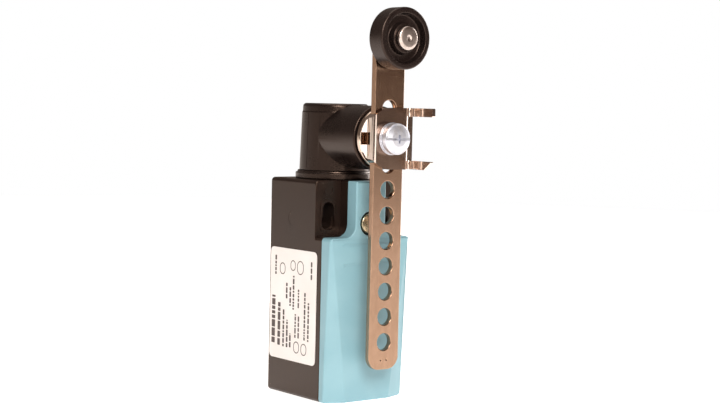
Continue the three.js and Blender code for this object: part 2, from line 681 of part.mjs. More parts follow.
function leverBar() {
  const bottom = SHAFT_Z - BAR_BELOW;
  const half = BAR_WIDTH / 2;
  const shape = new THREE.Shape();
  shape.absarc(0, ROLLER_Z, half, 0, Math.PI);
  shape.absarc(-half + BAR_CORNER, bottom + BAR_CORNER, BAR_CORNER, Math.PI, 1.5 * Math.PI);
  shape.absarc(half - BAR_CORNER, bottom + BAR_CORNER, BAR_CORNER, 1.5 * Math.PI, 2 * Math.PI);
  shape.closePath();
  const rises = [BAR_TOP_HOLE_RISE];
  for (let hole = 0; hole <= BAR_HOLES_BELOW; hole++) rises.push(-hole * BAR_HOLE_PITCH);
  for (const rise of rises) {
    const z = SHAFT_Z + rise;
    shape.holes.push(new THREE.Path().absarc(0, z, BAR_HOLE_RADIUS, 0, 2 * Math.PI, true));
  }
  shape.holes.push(new THREE.Path().absarc(0, ROLLER_Z, PIN_RADIUS + SEAT, 0, 2 * Math.PI, true));
  return plate(shape, BAR_BACK, BAR_FRONT, 0, 10);
}

// The clamp: a disc-shaped pressing with one straight side, a channel over the bar, a notch on the
// left and two prongs bent out of the straight side.
function clampBracket() {
  const outline = new THREE.Shape();
  outline.absarc(0, SHAFT_Z, HUB_RADIUS, 0.5 * Math.PI, 1.5 * Math.PI);
  outline.lineTo(CLAMP_RIGHT, SHAFT_Z - HUB_RADIUS);
  outline.lineTo(CLAMP_RIGHT, SHAFT_Z + HUB_RADIUS);
  outline.closePath();
  const channelHalf = BAR_WIDTH / 2 + FREE / 2;
  const outerHalf = channelHalf + SHEET;
  const tall = [SHAFT_Z - 2 * HUB_RADIUS, SHAFT_Z + 2 * HUB_RADIUS];
  const round = 0.7;
  const section = new THREE.Shape();
  section.moveTo(-outerHalf, 0);
  section.lineTo(outerHalf, 0);
  section.absarc(outerHalf - round, CHANNEL_FRONT - CLAMP_BACK - round, round, 0, Math.PI / 2);
  section.absarc(-outerHalf + round, CHANNEL_FRONT - CLAMP_BACK - round, round, Math.PI / 2, Math.PI);
  section.closePath();
  // The channel's section lies in X and out, and is swept up and down.
  const ridge = new THREE.ExtrudeGeometry(section, {
    depth: 2 * HUB_RADIUS,
    bevelEnabled: false,
    curveSegments: 4,
  });
  ridge.scale(1, -1, 1);
  ridge.translate(0, -CLAMP_BACK, SHAFT_Z - HUB_RADIUS);
  const flats = plate(outline, CLAMP_BACK, CLAMP_BACK + SHEET, 0, 10);
  const reach = plate(outline, CLAMP_BACK, CHANNEL_FRONT + 1, 0, 10);
  let solid = flats.add(solidOf(ridge).intersect(reach));
  solid = solid.subtract(brick([-channelHalf, channelHalf], [CLAMP_BACK - 1, CHANNEL_BACK], tall));
  const notch = [SHAFT_Z - NOTCH_HEIGHT / 2, SHAFT_Z + NOTCH_HEIGHT / 2];
  const notchAcross = [-HUB_RADIUS - 1, -outerHalf - SEAT];
  solid = solid.subtract(brick(notchAcross, [CLAMP_BACK - 1, CHANNEL_FRONT], notch));
  const screwHole = { z: SHAFT_Z, sides: SMALL_SIDES };
  solid = solid.subtract(rod(SCREW_RADIUS + FREE, CLAMP_BACK, CHANNEL_FRONT + 1, screwHole));
  return solid.add(prong(1)).add(prong(-1));
}

// A prong in Y and Z: the lower one has a slanting tip.
function prong(side) {
  const edge = HUB_RADIUS;
  const inner = edge - PRONG_HEIGHT;
  const cut = side < 0 ? LOWER_PRONG_CUT : 0;
  const outline = new THREE.Shape();
  outline.moveTo(CLAMP_BACK, edge);
  outline.lineTo(PRONG_OUT - cut, edge);
  outline.lineTo(PRONG_OUT, inner);
  outline.lineTo(CLAMP_BACK, inner);
  outline.closePath();
  const geometry = new THREE.ExtrudeGeometry(outline, { depth: SHEET, bevelEnabled: false });
  // Extruded along X, with the outline's first axis out of the front and its second axis up.
  const turn = new THREE.Matrix4();
  turn.set(0, 0, 1, CLAMP_RIGHT - SHEET, -1, 0, 0, 0, 0, side, 0, SHAFT_Z, 0, 0, 0, 1);
  geometry.applyMatrix4(turn);
  return solidOf(geometry);
}

function springWasher() {
  const from = CHANNEL_FRONT + SEAT;
  const ring = ringOut(SCREW_RADIUS + RUNNING, WASHER_RADIUS, from, from + WASHER_THICKNESS, { z: SHAFT_Z });
  const split = brick([-0.35, 0.35], [from - 1, from + 3], [SHAFT_Z - 2 * WASHER_RADIUS, SHAFT_Z]);
  return ring.subtract(split);
}

function clampScrew() {
  const seat = SCREW_SEAT;
  const front = seat + SCREW_HEAD_HEIGHT;
  const rim = seat + SCREW_HEAD_HEIGHT * 0.5;
  const profile = [
    [0, seat - SCREW_LENGTH],
    [SCREW_RADIUS - 0.4, seat - SCREW_LENGTH],
    [SCREW_RADIUS, seat - SCREW_LENGTH + 0.6],
    [SCREW_RADIUS, seat],
    [SCREW_HEAD_RADIUS, seat],
    [SCREW_HEAD_RADIUS, rim],
    [SCREW_HEAD_RADIUS * 0.92, rim + SCREW_HEAD_HEIGHT * 0.22],
    [SCREW_HEAD_RADIUS * 0.72, rim + SCREW_HEAD_HEIGHT * 0.4],
    [SCREW_HEAD_RADIUS * 0.4, front],
    [0, front],
  ];
  const body = turnedOut(profile, { z: SHAFT_Z });
  const slotHalf = 0.55;
  const slotBack = front - SCREW_HEAD_HEIGHT * 0.5;
  const slot = brick([-SCREW_HEAD_RADIUS - 1, SCREW_HEAD_RADIUS + 1], [slotBack, front + 1], [
    SHAFT_Z - slotHalf,
    SHAFT_Z + slotHalf,
  ]);
  const crossBack = front - SCREW_HEAD_HEIGHT * 0.75;
  const arm = SCREW_HEAD_RADIUS * 0.42;
  const across = brick([-arm, arm], [crossBack, front + 1], [SHAFT_Z - slotHalf, SHAFT_Z + slotHalf]);
  const upright = brick([-slotHalf, slotHalf], [crossBack, front + 1], [SHAFT_Z - arm, SHAFT_Z + arm]);
  return body.subtract(slot).subtract(across).subtract(upright);
}

function roller() {
  const bore = PIN_RADIUS + RUNNING;
  const edge = 0.5;
  const dish = ROLLER_RADIUS - ROLLER_RIM;
  const half = [
    [bore, ROLLER_BACK + 0.3],
    [ROLLER_HUB_RADIUS, ROLLER_BACK + 0.3],
    [ROLLER_HUB_RADIUS + 0.3, ROLLER_BACK + ROLLER_DISH],
    [dish - 0.3, ROLLER_BACK + ROLLER_DISH],
    [dish, ROLLER_BACK],
    [ROLLER_RADIUS - edge, ROLLER_BACK],
    [ROLLER_RADIUS, ROLLER_BACK + edge],
  ];
  const middle = (ROLLER_BACK + ROLLER_FRONT) / 2;
  const front = half.map(([radius, out]) => [radius, 2 * middle - out]).reverse();
  return turnedOut([...half, ...front, half[0]], { z: ROLLER_Z, sides: 40 });
}

function rollerPin() {
  const back = BAR_BACK - SEAT;
  const seat = ROLLER_FRONT + 0.1;
  const front = seat + PIN_HEAD_HEIGHT;
  const shoulder = PIN_HEAD_RADIUS - 0.3;
  const profile = [
    [0, back - 1.1],
    [shoulder - 0.4, back - 1.1],
    [shoulder, back - 0.6],
    [shoulder, back],
    [PIN_RADIUS, back],
    [PIN_RADIUS, seat],
    [PIN_HEAD_RADIUS, seat],
    [PIN_HEAD_RADIUS, front - 0.4],
    [PIN_HEAD_RADIUS - 0.5, front],
    [0.9, front],
    [0.6, front - 0.5],
    [0, front - 0.6],
  ];
  return turnedOut(profile, { z: ROLLER_Z });
}

// ---------------------------------------------------------------- inside the housing

// The block's back half: a slab with a channel for the carrier and a shelf for each terminal.
function contactBlock() {
  const body = brick([-BLOCK_HALF, BLOCK_HALF], [BLOCK_BACK, BLOCK_OUT], [BLOCK_BOTTOM, BLOCK_TOP]);
  const channel = brick([-CHANNEL_HALF, CHANNEL_HALF], [BLOCK_BACK + 3, BLOCK_OUT + 1], [
    BLOCK_BOTTOM + 3,
    BLOCK_TOP + 1,
  ]);
  const window = brick([-BLOCK_HALF - 1, BLOCK_HALF + 1], [CONTACT_OUT - 3, BLOCK_OUT + 1], [
    BRIDGE_TOP - PLUNGER_TRAVEL - 3.2,
    BRIDGE_TOP + 2.6,
  ]);
  return body.subtract(channel).subtract(window);
}

// The carrier rides in the channel under the plunger and holds the moving bridge.
function contactCarrier() {
  const top = BLOCK_TOP - 1;
  const bottom = BRIDGE_TOP - 6;
  const half = CARRIER_HALF;
  const low = BLOCK_BACK + 3 + FREE;
  const body = brick([-half, half], [low, BLOCK_OUT - FREE], [bottom, top]);
  const slotHalf = CONTACT_WIDTH / 2 + SEAT;
  const slot = brick([-half - 1, half + 1], [CONTACT_OUT - slotHalf, CONTACT_OUT + slotHalf], [
    BRIDGE_TOP - BRIDGE_THICKNESS - SEAT,
    BRIDGE_TOP + SEAT,
  ]);
  const pocket = post(2.4, bottom - 1, bottom + 1.6, { out: CONTACT_OUT, sides: SMALL_SIDES });
  return body.subtract(slot).subtract(pocket);
}

function contactBridge() {
  const half = CONTACT_WIDTH / 2 - 0.2;
  const bar = brick([-BRIDGE_HALF, BRIDGE_HALF], [CONTACT_OUT - half, CONTACT_OUT + half], [
    BRIDGE_TOP - BRIDGE_THICKNESS,
    BRIDGE_TOP,
  ]);
  const place = { x: BRIDGE_HALF - 1.2, out: CONTACT_OUT, sides: 16 };
  const tip = post(1, BRIDGE_TOP - BRIDGE_THICKNESS - 0.4, BRIDGE_TOP + 0.4, place);
  return bar.add(onBothSides(tip));
}

// A fixed contact: a strip in from the side of the block with a tip over or under the bridge.
function fixedContact(side, level) {
  const above = BRIDGE_TOP + 0.4 + FREE;
  const below = BRIDGE_TOP - BRIDGE_THICKNESS - 0.4 - FREE - PLUNGER_TRAVEL;
  const face = level > 0 ? above : below;
  const tipEnd = face + level * TIP;
  const stripEnd = tipEnd + level * 0.8;
  const low = Math.min(tipEnd, stripEnd);
  const high = Math.max(tipEnd, stripEnd);
  const inner = CHANNEL_HALF + 0.4;
  const x = side > 0 ? [inner, BLOCK_HALF - 0.5] : [-BLOCK_HALF + 0.5, -inner];
  const strip = brick(x, [CONTACT_OUT - CONTACT_WIDTH / 2, BLOCK_OUT + 1.4], [low, high]);
  const tipX = side * (BRIDGE_HALF - 1.2);
  const tipLow = Math.min(face, tipEnd) - (level < 0 ? 0.1 : 0);
  const tipHigh = Math.max(face, tipEnd) + (level > 0 ? 0.1 : 0);
  const tip = post(1, tipLow, tipHigh, { x: tipX, out: CONTACT_OUT, sides: 16 });
  // The strip turns along the block's front to its terminal plate.
  const plateBack = BLOCK_OUT + FREE;
  const reach = [level > 0 ? low : terminalZ(level) - 2.6, level > 0 ? terminalZ(level) + 2.6 : high];
  const terminal = brick(x, [plateBack, plateBack + 1.1], reach);
  const hole = rod(1.5 + RUNNING, plateBack - 1, plateBack + 3, {
    x: terminalX(side),
    z: terminalZ(level),
    sides: SMALL_SIDES,
  });
  return strip.add(tip).add(terminal).subtract(hole);
}

const terminalX = (side) => (side * (CHANNEL_HALF + BLOCK_HALF)) / 2;
const terminalZ = (level) => (level > 0 ? BLOCK_TOP - 3 : BLOCK_BOTTOM + 3);

function terminalScrew(side, level) {
  const seat = BLOCK_OUT + FREE + 1.1 + SEAT;
  return crossScrew({
    radius: 1.5,
    headRadius: 2.9,
    tip: BLOCK_OUT + SEAT,
    seat,
    front: seat + 1.8,
    x: terminalX(side),
    z: terminalZ(level),
  });
}

function contactSpring() {
  const from = BLOCK_BOTTOM + 3 + SEAT;
  const to = BRIDGE_TOP - 6 + 1.6 - SEAT;
  const geometry = coil(1.8, 0.6, to - from, 5);
  geometry.translate(0, -CONTACT_OUT, from);
  return solidOf(geometry);
}

// Earth terminal on the back wall of the wiring space.
function earthClamp() {
  const from = BACK_WALL + SEAT;
  const body = brick([EARTH_X - 3, EARTH_X + 3], [from, from + 1], [EARTH_Z - 3, EARTH_Z + 3]);
  const hole = rod(1.75 + RUNNING, from - 1, from + 2, { x: EARTH_X, z: EARTH_Z, sides: SMALL_SIDES });
  return body.subtract(hole);
}

function earthScrew() {
  const seat = BACK_WALL + SEAT + 1 + SEAT;
  return crossScrew({
    radius: 1.75,
    headRadius: 3,
    tip: BACK_WALL + SEAT,
    seat,
    front: seat + 2,
    x: EARTH_X,
    z: EARTH_Z,
  });
}

function plunger() {
  const foot = BLOCK_TOP - 1 + SEAT;
  const profile = [
    [0, foot],
    [PLUNGER_RADIUS, foot],
    [PLUNGER_RADIUS, PLUNGER_TOP - 1],
    [PLUNGER_RADIUS - 0.8, PLUNGER_TOP - 0.2],
    [0, PLUNGER_TOP],
  ];
  return turnedUp(profile, { out: HEAD_OUT, sides: 32 });
}

function ratingLabel() {
  const shape = roundedRectangle(LABEL_WIDTH, LABEL_HEIGHT, LABEL_CORNER);
  const geometry = new THREE.ExtrudeGeometry(shape, {
    depth: LABEL_THICKNESS,
    bevelEnabled: false,
    curveSegments: 6,
  });
  // The outline lies in Y and Z on the left-hand wall.
  const turn = new THREE.Matrix4();
  turn.set(0, 0, -1, -HALF - SEAT, -1, 0, 0, 0, 0, 1, 0, 0, 0, 0, 0, 1);
  geometry.applyMatrix4(turn);
  const out = (RIM_OUT - 1) / 2;
  geometry.translate(0, -out, TOP - LABEL_DROP - LABEL_HEIGHT / 2);
  return solidOf(geometry);
}

// ---------------------------------------------------------------- assembly

const assembly = new THREE.Group();

function addPiece(group, name, solid, material) {
  const mesh = new THREE.Mesh(geometryOf(solid), material);
  mesh.name = name;
  group.add(mesh);
}

const enclosure = new THREE.Group();
assembly.add(enclosure);
addPiece(enclosure, "housing", housing(), BLACK_PAINT);
addPiece(enclosure, "front_cover", cover(), TEAL_PLASTIC);
addPiece(enclosure, "cover_gasket", coverGasket(), RUBBER);
addPiece(
  enclosure,
  "cover_screw",
  crossScrew({
    radius: COVER_SCREW_RADIUS,
    headRadius: COVER_SCREW_HEAD,
    tip: HEAD_OUT + PLUNGER_RADIUS + 3.6,
    seat: COVER_RECESS_OUT + O_RING_HEIGHT + 2 * SEAT,
    front: COVER_OUT - 0.4,
    z: COVER_SCREW_Z,
  }),
  BRASS,
);
addPiece(
  enclosure,
  "cover_screw_ring",
  ringOut(
    COVER_SCREW_RADIUS + SEAT,
    COVER_RECESS_RADIUS - SEAT,
    COVER_RECESS_OUT + SEAT,
    COVER_RECESS_OUT + SEAT + O_RING_HEIGHT,
    { z: COVER_SCREW_Z },
  ),
  RUBBER,
);
addPiece(enclosure, "rating_label", ratingLabel(), WHITE_LABEL);

const head = new THREE.Group();
assembly.add(head);
addPiece(head, "head_flange", headFlange(), BLACK_PLASTIC);
addPiece(
  head,
  "flange_o_ring",
  ringUp(
    SPIGOT_RADIUS - SPIGOT_RING_DEPTH + SEAT,
    SPIGOT_RADIUS,
    SPIGOT_RING_LOW + SEAT,
    SPIGOT_RING_LOW + SPIGOT_RING_WIDTH - SEAT,
    { out: HEAD_OUT },
  ),
  RUBBER,
);
addPiece(head, "head_housing", headHousing(), BLACK_PLASTIC);
addPiece(
  head,
  "shaft_bush",
  ringOut(SHAFT_RADIUS + RUNNING, BUSH_RADIUS, SPRING_ROOM_OUT + SEAT, SEAL_BACK - SEAT, { z: SHAFT_Z }),
  BRASS,
);
addPiece(head, "shaft_seal", shaftSeal(), RUBBER);
addPiece(head, "return_spring", returnSpring(), STEEL);

const contacts = new THREE.Group();
assembly.add(contacts);
addPiece(contacts, "contact_block", contactBlock(), GREY_PLASTIC);
for (const [sideName, side] of [["left", -1], ["right", 1]])
  for (const [levelName, level] of [["nc", 1], ["no", -1]]) {
    const ending = levelName + "_" + sideName;
    addPiece(contacts, "fixed_contact_" + ending, fixedContact(side, level), SILVER);
    addPiece(contacts, "terminal_screw_" + ending, terminalScrew(side, level), ZINC);
  }
addPiece(contacts, "contact_spring", contactSpring(), STEEL);
addPiece(contacts, "earth_clamp", earthClamp(), BRASS);
addPiece(contacts, "earth_screw", earthScrew(), ZINC);

const pushed = new THREE.Group();
assembly.add(pushed);
addPiece(pushed, "plunger", plunger(), RED_PLASTIC);
addPiece(pushed, "contact_carrier", contactCarrier(), RED_PLASTIC);
addPiece(pushed, "contact_bridge", contactBridge(), SILVER);

const lever = new THREE.Group();
assembly.add(lever);
addPiece(lever, "actuator_shaft", actuatorShaft(), STEEL);
addPiece(lever, "shaft_circlip", circlip(), STEEL);
addPiece(
  lever,
  "hub_disc",
  ringOut(SHAFT_RADIUS + SEAT, HUB_RADIUS, HUB_OUT, HUB_OUT + HUB_THICKNESS, { z: SHAFT_Z, sides: 48 }),
  CHROME,
);
addPiece(lever, "clamp_bracket", clampBracket(), NICKEL);
addPiece(lever, "lever_bar", leverBar(), NICKEL);
addPiece(lever, "spring_washer", springWasher(), ZINC);
addPiece(lever, "clamp_screw", clampScrew(), ZINC);
addPiece(lever, "roller_pin", rollerPin(), STEEL);
addPiece(
  lever,
  "roller_spacer",
  ringOut(PIN_RADIUS + SEAT, PIN_RADIUS + 1.5, BAR_FRONT + SEAT, ROLLER_BACK + 0.3 - RUNNING, {
    z: ROLLER_Z,
    sides: SMALL_SIDES,
  }),
  STEEL,
);
addPiece(assembly, "roller", roller(), ROLLER_PLASTIC);

export default assembly;
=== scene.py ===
# Looks of the limit switch: an enamelled housing with a teal cover, a round black twist head, and a
# pierced lever bar held by a pressed clamp, with a roller on its end.
#
# Sizes are in millimetres and are turned to metres as a shape is drawn. X runs across the switch,
# -Y out of its front and +Z up, as in the frame. "out" is a distance from the back face to the front.
import math
import random

import bmesh
import bpy
from mathutils import Matrix, Vector


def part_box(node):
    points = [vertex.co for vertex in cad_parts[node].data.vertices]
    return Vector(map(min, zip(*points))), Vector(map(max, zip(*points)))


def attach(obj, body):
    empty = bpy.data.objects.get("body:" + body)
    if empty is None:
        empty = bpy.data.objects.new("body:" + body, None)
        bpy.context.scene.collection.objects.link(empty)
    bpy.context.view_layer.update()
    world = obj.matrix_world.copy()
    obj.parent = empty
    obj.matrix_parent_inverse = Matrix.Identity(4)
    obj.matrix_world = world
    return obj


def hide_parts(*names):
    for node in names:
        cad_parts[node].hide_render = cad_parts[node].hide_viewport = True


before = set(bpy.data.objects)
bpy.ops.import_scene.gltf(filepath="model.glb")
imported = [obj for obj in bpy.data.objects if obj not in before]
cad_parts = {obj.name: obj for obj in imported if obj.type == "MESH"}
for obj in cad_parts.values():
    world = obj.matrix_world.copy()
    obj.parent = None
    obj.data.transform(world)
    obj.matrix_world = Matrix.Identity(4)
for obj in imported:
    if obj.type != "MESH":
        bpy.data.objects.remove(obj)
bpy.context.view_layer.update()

MM = 0.001
SAME = 1e-7  # metres: two places this close are one place
DRAWN_WELD = 1e-6
SPUN_WELD = 2e-6
LAST_WELD = 4e-6


# ---------------------------------------------------------------- places, from the frame


def span(name, axis):
    """Lowest and highest place of a node along an axis, in millimetres."""
    low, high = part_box(name)
    return low[axis] / MM, high[axis] / MM


def middle(name, axis):
    return sum(span(name, axis)) / 2


HALF = span("housing", 0)[1]
BOTTOM, TOP = span("housing", 2)
RIM_OUT = -span("housing", 1)[0]
COVER_BACK = -span("front_cover", 1)[1]
COVER_OUT = 32.8  # the cover's flat middle
COVER_SIDE_OUT = 30.2  # the cover's face where it meets the side walls
EAR_OUT = 24.5  # the face of the two ears
NECK = 5.8  # half the width of the neck between the ears
SHOULDER = TOP - 17.5  # where the neck widens
SHOULDER_FILLET = 4
HOUSING_CORNER = 1.2
WALL = 1.8
GASKET_BACK = -span("cover_gasket", 1)[1]
COVER_SCREW_Z = middle("cover_screw", 2)
HEAD_OUT = -middle("head_flange", 1)
HEAD_LOW, HEAD_TOP = span("head_housing", 2)
SHAFT_Z = middle("hub_disc", 2)
ROLLER_Z = middle("roller", 2)
HUB_RADIUS = span("hub_disc", 0)[1]
CLAMP_BACK = -span("clamp_bracket", 1)[1]
CLAMP_RIGHT = span("clamp_bracket", 0)[1]
PRONG_OUT = -span("clamp_bracket", 1)[0]
BAR_BACK = -span("lever_bar", 1)[1]
BAR_FRONT = -span("lever_bar", 1)[0]
BAR_HALF = span("lever_bar", 0)[1]
BAR_LOW = span("lever_bar", 2)[0]
BAR_HOLE_PITCH = 7.87
BAR_HOLES_BELOW = 8
BAR_TOP_HOLE_RISE = 9.15  # from the shaft's axis up to the one hole above it
SHEET = 1.2  # thickness of the clamp's sheet
BAR_PLAY = 0.05  # room between the bar and the clamp's channel
CHANNEL_FRONT = BAR_FRONT + BAR_PLAY + SHEET
ROUND_STEPS = 96

# ---------------------------------------------------------------- modelling by operators


def only(piece):
    bpy.ops.object.select_all(action="DESELECT")
    piece.select_set(True)
    bpy.context.view_layer.objects.active = piece


def editing(piece):
    only(piece)
    bpy.ops.object.mode_set(mode="EDIT")


def done_editing():
    bpy.ops.object.mode_set(mode="OBJECT")


def place(a, b, plane, along):
    """A point of a drawing: "front" ones lie in X and Z, "side" ones in out and Z, "top" ones in X and out."""
    if plane == "front":
        return Vector((a, -along, b)) * MM
    if plane == "side":
        return Vector((along, -a, b)) * MM
    return Vector((a, -b, along)) * MM


def rounded(corners, arc_steps):
    """Corners (a, b) or (a, b, radius) with each radius drawn as a short row of points."""
    points = []
    count = len(corners)
    for i, corner in enumerate(corners):
        here = Vector(corner[:2])
        radius = corner[2] if len(corner) > 2 else 0
        if radius <= 0:
            points.append(here)
            continue
        before = (Vector(corners[i - 1][:2]) - here).normalized()
        after = (Vector(corners[(i + 1) % count][:2]) - here).normalized()
        half = before.angle(after) / 2
        centre = here + (before + after).normalized() * (radius / math.sin(half))
        first = here + before * (radius / math.tan(half)) - centre
        turn = (math.pi - 2 * half) * (1 if before.cross(after) < 0 else -1)
        for step in range(arc_steps + 1):
            points.append(centre + Matrix.Rotation(turn * step / arc_steps, 2) @ first)
    return points


def draw(name, corners, plane, along, arc_steps=6):
    """A closed outline, extruded from one vertex to the next; it is left in edit mode, all selected."""
    points = [place(a, b, plane, along) for a, b in rounded(corners, arc_steps)]
    points = [p for i, p in enumerate(points) if i == 0 or (p - points[i - 1]).length > DRAWN_WELD]
    bpy.ops.object.select_all(action="DESELECT")
    bpy.ops.mesh.primitive_plane_add(size=MM, location=points[0])
    piece = bpy.context.object
    piece.name = piece.data.name = name
    bpy.ops.object.transform_apply(location=True, rotation=True, scale=True)
    bpy.ops.object.mode_set(mode="EDIT")
    bpy.ops.mesh.select_mode(type="VERT")
    bpy.ops.mesh.select_all(action="SELECT")
    bpy.ops.mesh.merge(type="CENTER")
    for start, end in zip(points, points[1:] + points[:1]):
        bpy.ops.mesh.extrude_vertices_move(TRANSFORM_OT_translate={"value": end - start})
    bpy.ops.mesh.select_all(action="SELECT")
    bpy.ops.mesh.remove_doubles(threshold=DRAWN_WELD)
    return piece


def prism(name, corners, plane, start, end, edge=0, arc_steps=6, edge_steps=3):
    """A filled outline extruded from start to end, with both its rims rounded off by edge."""
    piece = draw(name, corners, plane, start, arc_steps)
    bpy.ops.mesh.edge_face_add()
    move = place(0, 0, plane, end) - place(0, 0, plane, start)
    bpy.ops.mesh.extrude_region_move(TRANSFORM_OT_translate={"value": move})
    bpy.ops.mesh.select_all(action="SELECT")
    bpy.ops.mesh.normals_make_consistent(inside=False)
    if edge:
        axis = max(range(3), key=lambda i: abs(move[i]))
        ends = [place(0, 0, plane, stop)[axis] for stop in (start, end)]
        round_edges(
            piece,
            lambda a, b: any(abs(a[axis] - s) + abs(b[axis] - s) < SAME for s in ends),
            edge,
            edge_steps,
        )
    done_editing()
    return piece


def round_edges(piece, wanted, width, steps=3):
    """Rounds off the edges whose two ends the test wants; the piece is in edit mode."""
    bpy.ops.mesh.select_mode(type="EDGE")
    bpy.ops.mesh.select_all(action="DESELECT")
    mesh = bmesh.from_edit_mesh(piece.data)
    for edge in mesh.edges:
        a, b = (v.co for v in edge.verts)
        if wanted(a, b):
            edge.select_set(True)
    bmesh.update_edit_mesh(piece.data)
    bpy.ops.mesh.bevel(offset=width * MM, segments=steps, affect="EDGES", clamp_overlap=False)


def turned(name, corners, axis, centre, steps=ROUND_STEPS, arc_steps=4):
    """A profile of (radius, height) corners spun about the "out" or the "up" axis through a centre."""
    x, out, z = centre
    if axis == "out":
        piece = draw(name, [(c[1], z + c[0], *c[2:]) for c in corners], "side", x, arc_steps)
        middle_line, spin_axis = Vector((x, 0, z)), (0, 1, 0)
    else:
        piece = draw(name, [(out + c[0], c[1], *c[2:]) for c in corners], "side", x, arc_steps)
        middle_line, spin_axis = Vector((x, -out, 0)), (0, 0, 1)
    bpy.ops.mesh.spin(steps=steps, angle=2 * math.pi, center=middle_line * MM, axis=spin_axis)
    bpy.ops.mesh.select_all(action="SELECT")
    bpy.ops.mesh.remove_doubles(threshold=SPUN_WELD)
    bpy.ops.mesh.delete_loose(use_verts=True, use_edges=True, use_faces=False)
    bpy.ops.mesh.select_all(action="SELECT")
    bpy.ops.mesh.normals_make_consistent(inside=False)
    done_editing()
    return piece


def block(name, x, out, z, edge=0):
    corners = [(x[0], z[0]), (x[1], z[0]), (x[1], z[1]), (x[0], z[1])]
    return prism(name, corners, "front", out[0], out[1], edge)


def combine(piece, tool, operation="DIFFERENCE"):
    modifier = piece.modifiers.new("combine", "BOOLEAN")
    modifier.operation = operation
    modifier.solver = "EXACT"
    modifier.object = tool
    only(piece)
    bpy.ops.object.modifier_apply(modifier=modifier.name)
    bpy.data.objects.remove(tool)
    return piece


def copied(piece, turn=None, move=(0, 0, 0)):
    """A copy with its own mesh, turned or mirrored by a matrix and moved."""
    twin = piece.copy()
    twin.data = piece.data.copy()
    bpy.context.scene.collection.objects.link(twin)
    if turn is not None:
        twin.data.transform(turn)
        if turn.determinant() < 0:
            twin.data.flip_normals()
    twin.data.transform(Matrix.Translation(Vector(move) * MM))
    return twin


MIRROR = Matrix.Diagonal((-1, 1, 1, 1))


def joined(pieces):
    bpy.ops.object.select_all(action="DESELECT")
    for piece in pieces:
        piece.select_set(True)
    bpy.context.view_layer.objects.active = pieces[0]
    bpy.ops.object.join()
    return pieces[0]


def finished(piece, body, material, nodes=(), smooth=35):
    """Shades a piece, gives it its material and its body, and hides the frame's nodes that it stands for."""
    editing(piece)
    bpy.ops.mesh.select_all(action="SELECT")
    bpy.ops.mesh.remove_doubles(threshold=LAST_WELD)
    done_editing()
    bpy.ops.object.shade_smooth_by_angle(angle=math.radians(smooth))
    modifier = piece.modifiers.new("flat_faces", "WEIGHTED_NORMAL")
    modifier.keep_sharp = True
    bpy.ops.object.modifier_apply(modifier=modifier.name)
    piece.data.materials.clear()
    piece.data.materials.append(material)
    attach(piece, body)
    if nodes:
        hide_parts(*nodes)
    return piece


# ---------------------------------------------------------------- materials


def colour(code):
    """An sRGB hex value as linear colour."""
    parts = [int(code[i : i + 2], 16) / 255 for i in (1, 3, 5)]
    return tuple(c / 12.92 if c <= 0.04045 else ((c + 0.055) / 1.055) ** 2.4 for c in parts) + (1,)


def node(tree, kind, settings=None, inputs=None):
    """Adds one shader node with its settings; an input is a number, a colour or another node's output."""
    made = tree.nodes.new("ShaderNode" + kind)
    for key, value in (settings or {}).items():
        setattr(made, key, value)
    for key, value in (inputs or {}).items():
        if isinstance(value, bpy.types.NodeSocket):
            tree.links.new(value, made.inputs[key])
        else:
            made.inputs[key].default_value = value
    return made


def started(name, roughness, metallic=0.0, ior=1.5):
    """An empty material with its main shader, and its Object coordinates."""
    material = bpy.data.materials.new(name)
    material.use_nodes = True
    tree = material.node_tree
    tree.nodes.clear()
    shader = node(tree, "BsdfPrincipled", None, {"Roughness": roughness, "Metallic": metallic, "IOR": ior})
    node(tree, "OutputMaterial", None, {"Surface": shader.outputs["BSDF"]})
    return material, tree, shader, node(tree, "TexCoord").outputs["Object"]


def clouds(tree, where, size, detail=3, stretch=(1, 1, 1)):
    """A cloudy pattern with blotches about size millimetres across, drawn out along an axis by stretch."""
    scale = Vector((1 / stretch[0], 1 / stretch[1], 1 / stretch[2])) / (size * MM)
    mapped = node(tree, "Mapping", None, {"Vector": where, "Scale": scale}).outputs[0]
    return node(tree, "TexNoise", None, {"Vector": mapped, "Scale": 1.0, "Detail": detail}).outputs["Fac"]


# A cloudy pattern's values lie mostly between these.
CLOUD_LOW, CLOUD_HIGH = 0.3, 0.7


